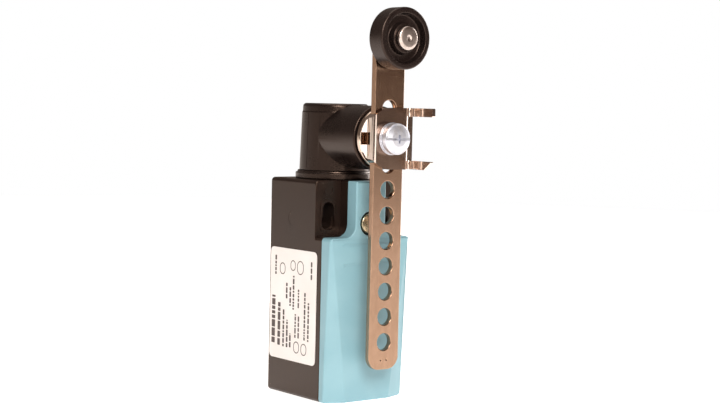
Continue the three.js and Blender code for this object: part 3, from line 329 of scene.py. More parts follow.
def plain_finish(
    name, main, shade, roughness, grain, metallic=0.0, ior=1.5, blotch=6, stretch=(1, 1, 1), specks=None,
    gloss_tint=None,
):
    """A moulded, painted, plated or ground surface: a colour that drifts to a second one over blotches,
    a roughness range, a grain of (size, depth) in millimetres, specks of (colour, spacing), and a colour
    for its gloss."""
    material, tree, shader, where = started(name, roughness[0], metallic, ior)
    if gloss_tint:
        shader.inputs["Specular Tint"].default_value = colour(gloss_tint)
    drift = clouds(tree, where, blotch, 4, stretch)
    share = node(tree, "MapRange", None, {"Value": drift, "From Min": CLOUD_LOW, "From Max": CLOUD_HIGH})
    tint = node(
        tree, "Mix", {"data_type": "RGBA"}, {"Factor": share.outputs[0], 6: colour(main), 7: colour(shade)}
    ).outputs[2]
    fine = clouds(tree, where, grain[0], 3, stretch)
    if specks:
        speck_colour, spacing = specks
        dots = node(tree, "TexVoronoi", None, {"Vector": where, "Scale": 1 / (spacing * MM)})
        # Each dot is small beside the spacing, and only the dots under the clouds' peaks are drawn.
        near = node(
            tree, "MapRange", None,
            {"Value": dots.outputs["Distance"], "From Min": 0.04, "From Max": 0.09, "To Min": 1, "To Max": 0},
        )
        some = node(
            tree, "MapRange", None,
            {"Value": clouds(tree, where, spacing * 1.7, 1), "From Min": 0.56, "From Max": 0.6, "To Max": 0.8},
        )
        both = node(tree, "Math", {"operation": "MULTIPLY"}, {0: near.outputs[0], 1: some.outputs[0]})
        tint = node(
            tree, "Mix", {"data_type": "RGBA"}, {"Factor": both.outputs[0], 6: tint, 7: colour(speck_colour)}
        ).outputs[2]
    tree.links.new(tint, shader.inputs["Base Color"])
    uneven = node(tree, "Math", {"operation": "ADD"}, {0: drift, 1: fine}).outputs[0]
    dulled = node(
        tree, "MapRange", None,
        {
            "Value": uneven, "From Min": 2 * CLOUD_LOW, "From Max": 2 * CLOUD_HIGH,
            "To Min": roughness[0], "To Max": roughness[1],
        },
    )
    tree.links.new(dulled.outputs[0], shader.inputs["Roughness"])
    relief = node(tree, "Bump", None, {"Height": fine, "Distance": grain[1] * MM, "Strength": 1.0})
    tree.links.new(relief.outputs["Normal"], shader.inputs["Normal"])
    return material


# Enamel baked on a zinc casting: a warm black satin skin with slight orange peel and a little dust.
black_enamel = plain_finish(
    "black_enamel_on_die_cast_zinc", "#191210", "#221814", (0.27, 0.38), (0.5, 0.012), blotch=9,
    specks=("#b3a292", 2.4), gloss_tint="#ffdcc6",
)
# Glass-filled nylon from a polished mould: near black, a broad soft sheen over a fine grain.
black_nylon = plain_finish(
    "moulded_glass_filled_nylon", "#120d0c", "#191211", (0.24, 0.34), (0.35, 0.008), ior=1.53, blotch=7,
    gloss_tint="#ffdcc8",
)
# Moulded PBT: an even pale teal with the faint cloudiness and fine spark grain of the mould.
teal_pbt = plain_finish(
    "moulded_teal_pbt", "#86b0bc", "#7ea9b6", (0.32, 0.42), (0.4, 0.006), ior=1.55, blotch=11,
)
# Nickel over rolled steel strip: a warm half-bright metal with rolling lines along its length.
nickel_strip = plain_finish(
    "nickel_plated_rolled_steel", "#b3937c", "#a98972", (0.2, 0.28), (0.22, 0.003), metallic=1.0, blotch=1.4,
    stretch=(1, 1, 2.5), specks=("#8d7463", 0.9),
)
# Bright nickel on a small pressing: clearer reflections, with faint flow marks at the bends.
nickel_pressing = plain_finish(
    "bright_nickel_plated_pressing", "#f2e5dc", "#e4d3c7", (0.09, 0.16), (0.5, 0.003), metallic=1.0, blotch=3,
)


def dull_channel_painted_dark(material):
    """Dulls the middle of the clamp's sheet, where it is pressed forward over the bar, to a rougher satin, and
    paints it darker: the darker colour is a painted dark reflection of the room, not the plating's own.
    """
    tree = material.node_tree
    shader = tree.nodes["Principled BSDF"]
    across = node(tree, "SeparateXYZ", None, {"Vector": node(tree, "TexCoord").outputs["Object"]}).outputs["X"]
    off_middle = node(tree, "Math", {"operation": "ABSOLUTE"}, {0: across}).outputs[0]
    # The dull, darker face ends where the channel's outer bends begin; its darker colour is painted reflection.
    dull_painted_dark = node(
        tree, "MapRange", None,
        {"Value": off_middle, "From Min": 5.5 * MM, "From Max": 6.1 * MM, "To Min": 1, "To Max": 0},
    ).outputs[0]
    bright_tint, bright_gloss = (shader.inputs[key].links[0].from_socket for key in ("Base Color", "Roughness"))
    # Painted dark reflection: the channel face gets a darker colour than the plating has; the roughness below
    # is the surface's own.
    tint = node(tree, "Mix", {"data_type": "RGBA"}, {"Factor": dull_painted_dark, 6: bright_tint, 7: colour("#8f7768")})
    gloss = node(tree, "Mix", {"data_type": "FLOAT"}, {"Factor": dull_painted_dark, 2: bright_gloss, 3: 0.24})
    tree.links.new(tint.outputs[2], shader.inputs["Base Color"])
    tree.links.new(gloss.outputs[0], shader.inputs["Roughness"])


# The channel's face gets a higher roughness and a painted dark reflection in its colour.
dull_channel_painted_dark(nickel_pressing)
# Chromium plate: a hard mirror on the turned edge of the hub.
chrome = plain_finish(
    "chromium_plate", "#d9c8b9", "#bea896", (0.06, 0.13), (0.8, 0.002), metallic=1.0, blotch=3,
)
# Blue-passivated zinc plate: a cold, slightly cloudy bright metal.
zinc_plate = plain_finish(
    "blue_passivated_zinc_plate", "#eaecf3", "#cfd4e1", (0.27, 0.38), (0.4, 0.004), metallic=0.77, blotch=1.6,
)
# Moulded acetal: a dark brown-black wheel with a low sheen.
roller_acetal = plain_finish(
    "moulded_acetal", "#181211", "#201917", (0.24, 0.34), (0.4, 0.008), ior=1.48, blotch=4,
    gloss_tint="#ffdfd0",
)
# Nitrile rubber: dull black with a dusty bloom.
nitrile = plain_finish(
    "nitrile_rubber", "#161514", "#23211f", (0.62, 0.78), (0.25, 0.01), ior=1.52, blotch=2,
)
# Turned brass: warm yellow with tool marks.
brass = plain_finish(
    "turned_brass", "#f6e8c8", "#dcc8a6", (0.22, 0.36), (0.2, 0.006), metallic=1.0, blotch=1.2,
)
# Drawn spring wire: grey steel with drawing lines.
spring_wire = plain_finish(
    "drawn_spring_steel", "#8d8984", "#6f6b67", (0.28, 0.4), (0.2, 0.005), metallic=1.0, blotch=1,
)
# Fine silver contacts: soft white metal, a little tarnished.
contact_silver = plain_finish(
    "fine_silver", "#dad8d2", "#bdb6a6", (0.22, 0.38), (0.3, 0.004), metallic=1.0, blotch=1.5,
)
# Moulded thermoset: the contact block's dull light grey.
grey_thermoset = plain_finish(
    "moulded_grey_thermoset", "#8d9296", "#7d8286", (0.45, 0.6), (0.4, 0.012), ior=1.56, blotch=5,
)
# Moulded red polyamide: the plunger and the contact carrier.
red_polyamide = plain_finish(
    "moulded_red_polyamide", "#a8322a", "#8f2a24", (0.36, 0.5), (0.35, 0.008), ior=1.53, blotch=4,
)
# Ink of the label's rules: a flat warm black film with pinholes.
label_ink = plain_finish(
    "screen_printing_ink", "#3c3130", "#574a47", (0.4, 0.55), (0.2, 0.003), blotch=0.8,
)
# White polyester film: a smooth satin face, slightly wavy over the casting, yellowed a little.
white_film = plain_finish(
    "white_polyester_film", "#f2edeb", "#eae5e2", (0.3, 0.42), (2.5, 0.01), ior=1.57, blotch=12,
)


def turned_steel(name, x, z):
    """Steel faced off in a lathe: fine rings round the axis, which catch the light as they turn."""
    material, tree, shader, where = started(name, 0.25, 1.0)
    mapped = node(tree, "Mapping", None, {"Vector": where, "Location": Vector((-x, 0, -z)) * MM})
    parts = node(tree, "SeparateXYZ", None, {"Vector": mapped.outputs[0]})
    flat = node(tree, "CombineXYZ", None, {"X": parts.outputs["X"], "Y": 0.0, "Z": parts.outputs["Z"]})
    away = node(tree, "VectorMath", {"operation": "LENGTH"}, {0: flat.outputs[0]}).outputs["Value"]
    # Real turning lines are some 0.1 mm apart: these are coarser, so that they show.
    ring_spacing, ring_depth = 0.3, 0.0004
    phase = node(tree, "Math", {"operation": "MULTIPLY"}, {0: away, 1: 2 * math.pi / (ring_spacing * MM)})
    rings = node(tree, "Math", {"operation": "SINE"}, {0: phase.outputs[0]}).outputs[0]
    mottle = clouds(tree, where, 1.5, 3)
    cloudy = {"Value": mottle, "From Min": CLOUD_LOW, "From Max": CLOUD_HIGH}
    share = node(tree, "MapRange", None, cloudy).outputs[0]
    tint = node(
        tree, "Mix", {"data_type": "RGBA"}, {"Factor": share, 6: colour("#d9cdc6"), 7: colour("#c2b3aa")}
    ).outputs[2]
    tree.links.new(tint, shader.inputs["Base Color"])
    dulled = node(tree, "MapRange", None, {**cloudy, "To Min": 0.26, "To Max": 0.36}).outputs[0]
    tree.links.new(dulled, shader.inputs["Roughness"])
    relief = node(tree, "Bump", None, {"Height": rings, "Distance": ring_depth * MM, "Strength": 1.0})
    tree.links.new(relief.outputs["Normal"], shader.inputs["Normal"])
    return material


pin_steel = turned_steel("turned_steel_pin", 0, ROLLER_Z)
shaft_steel = turned_steel("turned_steel_shaft", 0, SHAFT_Z)

# ---------------------------------------------------------------- camera

CAMERA_AZIMUTH = math.radians(-37.51)
CAMERA_ELEVATION = math.radians(3.61)
CAMERA_ROLL = math.radians(1.32)
CAMERA_DISTANCE = 506.24
CAMERA_AIM = (0.9, -25.79, 3.64)
CAMERA_LENS, CAMERA_SENSOR = 80.1, 36

look = Vector(
    (
        -math.sin(CAMERA_AZIMUTH) * math.cos(CAMERA_ELEVATION),
        math.cos(CAMERA_AZIMUTH) * math.cos(CAMERA_ELEVATION),
        -math.sin(CAMERA_ELEVATION),
    )
)
level_right = look.cross(Vector((0, 0, 1))).normalized()
level_up = level_right.cross(look)
right = math.cos(CAMERA_ROLL) * level_right + math.sin(CAMERA_ROLL) * level_up
up = right.cross(look)

camera_data = bpy.data.cameras.new("camera")
camera_data.lens, camera_data.sensor_width = CAMERA_LENS, CAMERA_SENSOR
camera_data.clip_start = 0.01
camera = bpy.data.objects.new("camera", camera_data)
bpy.context.scene.collection.objects.link(camera)
camera.matrix_world = Matrix.Translation((Vector(CAMERA_AIM) - look * CAMERA_DISTANCE) * MM) @ Matrix(
    (right, up, -look)
).transposed().to_4x4()
bpy.context.scene.camera = camera

# ---------------------------------------------------------------- housing


def bottle(inset):
    """The shape that the housing's rim and the cover share: wide below, a narrow neck above."""
    side, neck, shoulder = HALF - inset, NECK - inset, SHOULDER - inset
    bottom, top = BOTTOM + inset, TOP - inset
    corner = max(HOUSING_CORNER - inset, 0.2)
    fillet = SHOULDER_FILLET + inset
    return [
        (side, bottom, corner),
        (side, shoulder, corner),
        (neck, shoulder, fillet),
        (neck, top, 0.3),
        (-neck, top, 0.3),
        (-neck, shoulder, fillet),
        (-side, shoulder, corner),
        (-side, bottom, corner),
    ]


def rectangle(x, z, radius):
    return [(x[0], z[0], radius), (x[1], z[0], radius), (x[1], z[1], radius), (x[0], z[1], radius)]


def make_housing():
    outline = rectangle((-HALF, HALF), (BOTTOM, TOP), HOUSING_CORNER)
    piece = prism("enamelled_housing", outline, "front", 0, RIM_OUT, 0.4)
    # The two ears stand back beside the neck.
    outside = HALF + 0.005
    ear_room = [
        (NECK, TOP + 5),
        (NECK, SHOULDER, SHOULDER_FILLET),
        (outside, SHOULDER, HOUSING_CORNER),
        (outside, SHOULDER - 4),
        (HALF + 4, SHOULDER - 4),
        (HALF + 4, TOP + 5),
    ]
    cutter = prism("ear_room", ear_room, "front", EAR_OUT, RIM_OUT + 5, 0, 10)
    combine(piece, copied(cutter, MIRROR))
    combine(piece, cutter)
    editing(piece)
    round_edges(
        piece,
        lambda a, b: abs(a.y + EAR_OUT * MM) + abs(b.y + EAR_OUT * MM) < SAME
        and min(abs(a.x), abs(b.x)) > (NECK + SHOULDER_FILLET) * MM
        and min(a.z, b.z) > (SHOULDER + 1) * MM,
        0.4,
    )
    done_editing()
    # Wiring and contact room, with the step for the gasket round its mouth.
    floor_top, roof_low, back_wall = BOTTOM + 6, HEAD_LOW - 9, 2
    inner = [(x, min(z, roof_low) if z > SHOULDER else max(z, floor_top), r) for x, z, r in bottle(WALL)]
    combine(piece, prism("room", inner, "front", back_wall, RIM_OUT + 5, 0, 10))
    combine(piece, prism("gasket_step", bottle(WALL / 2), "front", GASKET_BACK, RIM_OUT + 5, 0, 10))
    # A bridge across the neck takes the cover screw.
    bridge = block(
        "bridge", (-NECK + 0.9, NECK - 0.9), (HEAD_OUT + 5.5, GASKET_BACK - 0.3),
        (COVER_SCREW_Z - 3.2, COVER_SCREW_Z + 3.2),
    )
    combine(piece, bridge, "UNION")
    thread_radius = 1.56
    thread = [(0, HEAD_OUT + 4), (thread_radius, HEAD_OUT + 4), (thread_radius, RIM_OUT + 1), (0, RIM_OUT + 1)]
    combine(piece, turned("thread_hole", thread, "out", (0, 0, COVER_SCREW_Z), 32))
    spigot_floor, spigot_radius, lead_in = TOP - 4.5, 8.35, 0.35
    spigot = [
        (0, spigot_floor),
        (spigot_radius, spigot_floor),
        (spigot_radius, TOP + 0.05 - lead_in),
        (spigot_radius + lead_in, TOP + 0.05),
        (spigot_radius + lead_in, TOP + 2),
        (0, TOP + 2),
    ]
    combine(piece, turned("spigot_bore", spigot, "up", (0, HEAD_OUT, 0)))
    guide_low, guide_radius = -9.5, 2.8
    guide = [(0, guide_low), (guide_radius, guide_low), (guide_radius, TOP), (0, TOP)]
    combine(piece, turned("plunger_bore", guide, "up", (0, HEAD_OUT, 0), 32))
    # Threaded cable entry in the floor, with a lead-in chamfer.
    pitch, crest, root, mouth, entry_out = 1.5, 9.2, 9.95, 10.6, 14
    entry = [(0, BOTTOM - 1), (mouth, BOTTOM - 1), (mouth, BOTTOM), (9.9, BOTTOM + 0.6)]
    for turn in range(3):
        low = BOTTOM + 0.6 + turn * pitch
        entry += [(crest, low + pitch / 2), (root, low + pitch)]
    entry += [(crest, BOTTOM + 5.8), (crest, BOTTOM + 7), (0, BOTTOM + 7)]
    combine(piece, turned("cable_entry", entry, "up", (0, entry_out, 0)))
    # Fixing slots, each with a shallow pocket round its lower half and raised marks over it.
    slot_x, slot_half, pocket_half, pocket_deep = 10.5, 2.15, 2.55, 1.2
    slot_outline = rectangle((slot_x - slot_half, slot_x + slot_half), (-4.25, 4.25), 2.149)
    pocket_outline = rectangle((slot_x - pocket_half, slot_x + pocket_half), (-4.65, 0.4), 1.9)
    slot = prism("slot", slot_outline, "front", -1, 30, 0, 12)
    pocket = prism("pocket", pocket_outline, "front", EAR_OUT - pocket_deep, 30, 0, 8)
    for cutter in (slot, pocket):
        combine(piece, copied(cutter, MIRROR))
        combine(piece, cutter)
    wide, thick = 3.2, 0.5
    mark_back, mark_front = EAR_OUT - 0.3, EAR_OUT + 0.2
    frame_outer = rectangle((slot_x - wide, slot_x + wide), (-5.6, 5.5), 2.6)
    frame_inner = rectangle((slot_x - wide + thick, slot_x + wide - thick), (-5.1, 5.0), 2.1)
    mark = prism("slot_frame", frame_outer, "front", mark_back, mark_front, 0, 8)
    combine(mark, prism("slot_frame_room", frame_inner, "front", EAR_OUT - 1, EAR_OUT + 1, 0, 8))
    loop_half, loop_thick = 1.8, 0.45
    loop_outline = rectangle((slot_x - loop_half, slot_x + loop_half), (6.2, 9.4), 1.5)
    loop = prism("loop", loop_outline, "front", mark_back, mark_front)
    loop_inside = loop_half - loop_thick
    inside = rectangle((slot_x - loop_inside, slot_x + loop_inside), (6.2 + loop_thick, 12), 1.05)
    combine(loop, prism("loop_room", inside, "front", EAR_OUT - 1, EAR_OUT + 1))
    for raised in (mark, loop):
        combine(piece, copied(raised, MIRROR), "UNION")
        combine(piece, raised, "UNION")
    # A shallow round mould mark on each side wall.
    mark_deep = 0.05
    ring = prism("mould_mark", rectangle((10, 15), (-4, 1), 2.49), "side", HALF - mark_deep, HALF + 1, 0, 10)
    combine(piece, copied(ring, MIRROR))
    combine(piece, ring)
    return finished(piece, "enclosure", black_enamel, ["housing"])


make_housing()

# ---------------------------------------------------------------- cover


def facet_flat(z):
    """Half width of the cover's flat middle at a height: it widens upwards."""
    at_bottom, spread, side_margin = 8.6, 0.12, 0.7
    return min(at_bottom + spread * (z - BOTTOM), HALF - side_margin)


def make_cover():
    piece = prism("teal_cover", bottle(0), "front", COVER_BACK, COVER_OUT, 0, 12)
    # Each side is planed back to one flat facet, which narrows towards the shoulder.
    low_line = Vector((facet_flat(BOTTOM), -COVER_OUT, BOTTOM))
    high_line = Vector((facet_flat(SHOULDER), -COVER_OUT, SHOULDER))
    low_side = Vector((HALF, -COVER_SIDE_OUT, BOTTOM))
    slope = (high_line - low_line).cross(low_side - low_line).normalized()
    editing(piece)
    for mirror in (1, -1):
        bpy.ops.mesh.select_all(action="SELECT")
        bpy.ops.mesh.bisect(
            plane_co=Vector((mirror * low_line.x, low_line.y, low_line.z)) * MM,
            plane_no=(mirror * slope.x, slope.y, slope.z),
            use_fill=True,
            clear_outer=slope.y < 0,
            clear_inner=slope.y > 0,
        )
    done_editing()

    room = rectangle((-HALF + 1.6, HALF - 1.6), (BOTTOM + 1.6, SHOULDER - 1.6), 0.6)
    combine(piece, prism("cover_room", room, "front", COVER_BACK - 1, 29.2))
    recess_out = -span("cover_screw_ring", 1)[1]
    recess_floor, recess_radius, recess_mouth = recess_out - 0.05, 3.9, 4.3
    recess = [
        (0, recess_floor),
        (recess_radius, recess_floor),
        (recess_radius, COVER_OUT - 0.3),
        (recess_mouth, COVER_OUT + 0.1),
        (recess_mouth, 36),
        (0, 36),
    ]
    combine(piece, turned("screw_recess", recess, "out", (0, 0, COVER_SCREW_Z)))
    hole_radius = 1.8
    hole = [(0, 26), (hole_radius, 26), (hole_radius, 33), (0, 33)]
    combine(piece, turned("screw_hole", hole, "out", (0, 0, COVER_SCREW_Z), 32))
    # Round the outer edges, but not those that run straight out, the screw's recess or the room behind.
    editing(piece)
    mesh = bmesh.from_edit_mesh(piece.data)
    sharp = set()

    def ends_of(a, b):
        return tuple(round(c, 7) for c in a), tuple(round(c, 7) for c in b)

    for edge in mesh.edges:
        a, b = (v.co for v in edge.verts)
        in_recess = Vector((a.x, a.z - COVER_SCREW_Z * MM)).length < 4.5 * MM
        in_room = max(abs(a.y), abs(b.y)) < 29.3 * MM
        if not in_room and not in_recess and edge.calc_face_angle(0) > math.radians(14):
            if abs((b - a).normalized().y) < 0.9:
                sharp.add(ends_of(a, b))
    round_edges(piece, lambda a, b: ends_of(a, b) in sharp, 0.45, 4)
    bpy.ops.mesh.select_all(action="SELECT")
    bpy.ops.mesh.remove_doubles(threshold=SPUN_WELD)
    done_editing()
    # Two raised lines frame a blank panel.
    for drop in (19.8, 25.9):
        z = TOP - drop
        line = prism("panel_line", rectangle((-10.5, 10.5), (z - 0.25, z + 0.25), 0.2), "front", 32.2, 33.0)
        combine(piece, line, "UNION")
    return finished(piece, "enclosure", teal_pbt, ["front_cover"], 30)


make_cover()


def cross_cut(piece, x, z, arm, thin, deep, front):
    """A cross recess with tapering arms, cut in from the front of a screw head."""
    for wide, tall in ((arm, thin), (thin, arm)):
        arm_outline = rectangle((x - wide, x + wide), (z - tall, z + tall), thin * 0.5)
        cutter = prism("recess", arm_outline, "front", deep, front + 1)
        editing(cutter)
        bpy.ops.mesh.select_mode(type="FACE")
        bpy.ops.mesh.select_all(action="DESELECT")
        mesh = bmesh.from_edit_mesh(cutter.data)
        for face in mesh.faces:
            if face.normal.y > 0.9:
                face.select_set(True)
        bmesh.update_edit_mesh(cutter.data)
        bpy.ops.transform.resize(value=(0.6, 1, 0.6), center_override=(x * MM, -deep * MM, z * MM))
        done_editing()
        combine(piece, cutter)


def make_cover_screw():
    out_low, out_high = -span("cover_screw", 1)[1], -span("cover_screw", 1)[0]
    seat = -span("cover_screw_ring", 1)[0] + 0.05
    head, radius = 3.05, 1.5
    profile = [(0, out_low), (radius - 0.3, out_low), (radius, out_low + 0.4)]
    profile += [(radius, seat), (head, seat, 0.2), (head, out_high - 0.1, 0.45), (0, out_high)]
    piece = turned("brass_cover_screw", profile, "out", (0, 0, COVER_SCREW_Z))
    cross_cut(piece, 0, COVER_SCREW_Z, 1.75, 0.38, out_high - 1.0, out_high)
    return finished(piece, "enclosure", brass, ["cover_screw"])


make_cover_screw()


def make_cover_screw_ring():
    ring_back, ring_front = sorted(-v for v in span("cover_screw_ring", 1))
    section = rectangle((1.55, 3.85), (ring_back, ring_front), 0.28)
    piece = turned("cover_screw_o_ring", section, "out", (0, 0, COVER_SCREW_Z), 64)
    finished(piece, "enclosure", nitrile, ["cover_screw_ring"])


make_cover_screw_ring()

# ---------------------------------------------------------------- label print

LABEL_BACK, LABEL_FRONT = sorted(-v for v in span("rating_label", 1))
LABEL_LOW, LABEL_HIGH = span("rating_label", 2)
LABEL_FACE = span("rating_label", 0)[0]


def make_label_print():
    """Plain rules and dashes in rows up the label, with nothing to read in them."""
    draws = random.Random(7)
    # Each row: share across the label from its back edge, thickness, and start and end up the label.
    rows = [
        (0.085, 1.5, 4.6, 20.0),
        (0.21, 1.15, 4.2, 18.2),
        (0.31, 0.7, 4.0, 16.4),
        (0.39, 0.7, 4.0, 12.8),
        (0.46, 0.7, 4.2, 8.6),
        (0.37, 0.7, 19.6, 24.6),
        (0.45, 0.7, 17.4, 23.4),
        (0.52, 0.7, 16.4, 27.2),
        (0.57, 0.6, 7.6, 15.6),
        (0.64, 0.6, 7.6, 14.6),
        (0.63, 0.6, 17.2, 23.2),
        (0.77, 0.65, 7.4, 22.4),
        (0.85, 0.65, 7.2, 19.4),
        (0.9, 0.6, 26.8, 32.4),
        (0.12, 0.7, 26.8, 33.0),
    ]
    bars = []
    ink_back, ink_front = LABEL_FACE - 0.02, LABEL_FACE + 0.06
    gap = (0.2, 0.32)
    for share, thin, low, high in rows:
        thick = thin * 1.25
        out = LABEL_BACK + share * (LABEL_FRONT - LABEL_BACK)
        z = LABEL_LOW + low
        while z < LABEL_LOW + high:
            length = min(draws.uniform(0.4, 1.5) * (0.5 + thick), LABEL_LOW + high - z)
            if length > 0.2:
                corners = rectangle((out - thick / 2, out + thick / 2), (z, z + length), min(0.12, length / 3))
                bars.append(prism("bar", corners, "side", ink_back, ink_front, 0, 1))
            z += length + draws.uniform(*gap) * (0.8 + 0.4 * thick)
    # Empty rings, a little narrower than tall: share across, height up the label, and radius.
    rings = [(0.27, 29.0, 1.9), (0.5, 30.4, 1.7), (0.66, 30.0, 2.2), (0.6, 4.6, 1.9), (0.76, 4.4, 1.9)]
    ring_line = 0.3
    for share, height, radius in rings:
        out = LABEL_BACK + share * (LABEL_FRONT - LABEL_BACK)
        z = LABEL_LOW + height
        outer = rectangle((out - radius * 0.8, out + radius * 0.8), (z - radius, z + radius), radius * 0.79)
        ring = prism("ring", outer, "side", ink_back, ink_front)
        hole = radius - ring_line
        inner = rectangle((out - hole * 0.78, out + hole * 0.78), (z - hole, z + hole), hole * 0.77)
        bars.append(combine(ring, prism("hole", inner, "side", LABEL_FACE - 1, LABEL_FACE + 1)))
    piece = joined(bars)
    piece.name = piece.data.name = "label_rules"
    return finished(piece, "enclosure", label_ink)


make_label_print()

# ---------------------------------------------------------------- head


def make_flange():
    low, high = span("head_flange", 2)
    spigot, shoulder = 8.3, 12.5
    ring_low, ring_high = span("flange_o_ring", 2)
    profile = [
        (2.56, low),
        (spigot, low, 0.4),
        (spigot, ring_low - 0.05),
        (spigot - 1, ring_low - 0.05),
        (spigot - 1, ring_high + 0.05),
        (spigot, ring_high + 0.05),
        (spigot, TOP + 0.05),
        (shoulder, TOP + 0.05, 0.35),
        (shoulder, high - 0.75, 0.3),
        (11.95, high - 0.55, 0.15),
        (11.8, high, 0.25),
        (2.56, high),
    ]
    piece = turned("head_flange_ring", profile, "up", (0, HEAD_OUT, 0), 128)
    return finished(piece, "enclosure", black_nylon, ["head_flange"])


make_flange()


def head_profile(grow):
    foot, cap = 11.3 + grow, 10.7 + grow
    return [
        (0, HEAD_LOW - grow),
        (foot, HEAD_LOW - grow, 0.25),
        (cap + 0.05, HEAD_TOP - 2.8, 0.6),
        (cap - 0.12, HEAD_TOP - 2.6, 0.4),
        (cap - 0.25, HEAD_TOP + grow, 1.1),
        (0, HEAD_TOP + grow),
    ]


def make_head():
    piece = turned("head_body", head_profile(0), "up", (0, HEAD_OUT, 0), 144, 6)
    snout_out = -span("head_housing", 1)[0]
    snout_radius = 10.0
    snout = [
        (0, HEAD_OUT - 1),
        (snout_radius, HEAD_OUT - 1),
        (snout_radius, snout_out - 0.02, 0.45),
        (8.9, snout_out, 0.1),
        (0, snout_out),
    ]
    combine(piece, turned("snout", snout, "out", (0, 0, SHAFT_Z), 144, 6), "UNION")
    # The mould's parting line runs up each side as a hair of flash.
    flash_high, flash_half = 0.07, 0.11
    flash = turned("flash", head_profile(flash_high), "up", (0, HEAD_OUT, 0), 96, 6)
    flash_span = (HEAD_OUT - flash_half, HEAD_OUT + flash_half)
    slab = block("slab", (-14, 14), flash_span, (HEAD_LOW + 0.6, HEAD_TOP - 3.2))
    combine(flash, slab, "INTERSECT")
    combine(piece, flash, "UNION")
    room_radius, roof = 8.1, HEAD_TOP - 2.6
    room = [(0, HEAD_LOW - 1), (room_radius, HEAD_LOW - 1), (room_radius, roof), (0, roof)]
    combine(piece, turned("head_room", room, "up", (0, HEAD_OUT, 0)))
    # The shaft's bore: a blind end at the back, the spring's room, the bush's seat and the seal's.
    bore_back, shaft_bore, spring_room, bush_seat, seal_seat = 3.7, 4.06, 7.0, 5.55, 7.05
    spring_end, seal_back = HEAD_OUT + 8.6, snout_out - 3
    bore = [
        (0, bore_back),
        (shaft_bore, bore_back),
        (shaft_bore, HEAD_OUT),
        (spring_room, HEAD_OUT),
        (spring_room, spring_end),
        (bush_seat, spring_end),
        (bush_seat, seal_back),
        (seal_seat, seal_back),
        (seal_seat, snout_out + 1),
        (0, snout_out + 1),
    ]
    combine(piece, turned("shaft_bore", bore, "out", (0, 0, SHAFT_Z)))
    return finished(piece, "enclosure", black_nylon, ["head_housing"], 28)


make_head()

# ---------------------------------------------------------------- lever


def hole_cutter(name, radius, z, edge=0.28):
    """A round hole whose mouths are rolled over on both faces of the bar."""
    low, high = BAR_BACK, BAR_FRONT
    quarter = [math.radians(a) for a in (0, 22, 45, 68, 90)]
    profile = [(0, low - 0.5), (radius + edge, low - 0.5)]
    profile += [(radius + edge * (1 - math.sin(q)), low + edge * (1 - math.cos(q))) for q in quarter]
    profile += [(radius + edge * (1 - math.sin(q)), high - edge * (1 - math.cos(q))) for q in reversed(quarter)]
    profile += [(radius + edge, high + 0.5), (0, high + 0.5)]
    return turned(name, profile, "out", (0, 0, z), 64)


def make_bar():
    corner = 4.0
    round_end = BAR_HALF
    top = ROLLER_Z + BAR_HALF
    outline = [
        (-BAR_HALF, BAR_LOW, corner),
        (BAR_HALF, BAR_LOW, corner),
        (BAR_HALF, top, round_end),
        (-BAR_HALF, top, round_end),
    ]
    piece = prism("pierced_lever_bar", outline, "front", BAR_BACK, BAR_FRONT, 0.3, 16, 4)
    first = hole_cutter("hole", 2.65, SHAFT_Z)
    rises = [BAR_TOP_HOLE_RISE] + [-i * BAR_HOLE_PITCH for i in range(1, BAR_HOLES_BELOW + 1)]
    holes = [first] + [copied(first, None, (0, 0, rise)) for rise in rises]
    combine(piece, joined(holes))
    combine(piece, hole_cutter("pin_hole", 2.55, ROLLER_Z, 0.1))
    # Two small punch marks near the lower end.
    punch_radius = 0.55
    for x in (-1.1, 1.1):
        dimple = [
            (0, BAR_FRONT - 0.35),
            (punch_radius, BAR_FRONT + 0.05),
            (punch_radius, BAR_FRONT + 1),
            (0, BAR_FRONT + 1),
        ]
        combine(piece, turned("punch", dimple, "out", (x, 0, BAR_LOW + 3.1), 24))
    return finished(piece, "lever", nickel_strip, ["lever_bar"])


make_bar()


def make_hub():
    back, front = sorted(-v for v in span("hub_disc", 1))
    bore, edge = 4.05, 0.6
    profile = [(bore, back), (HUB_RADIUS, back, edge), (HUB_RADIUS, front, edge), (bore, front)]
    piece = turned("chromed_hub", profile, "out", (0, 0, SHAFT_Z), 144, 6)
    finished(piece, "lever", chrome, ["hub_disc"])


make_hub()


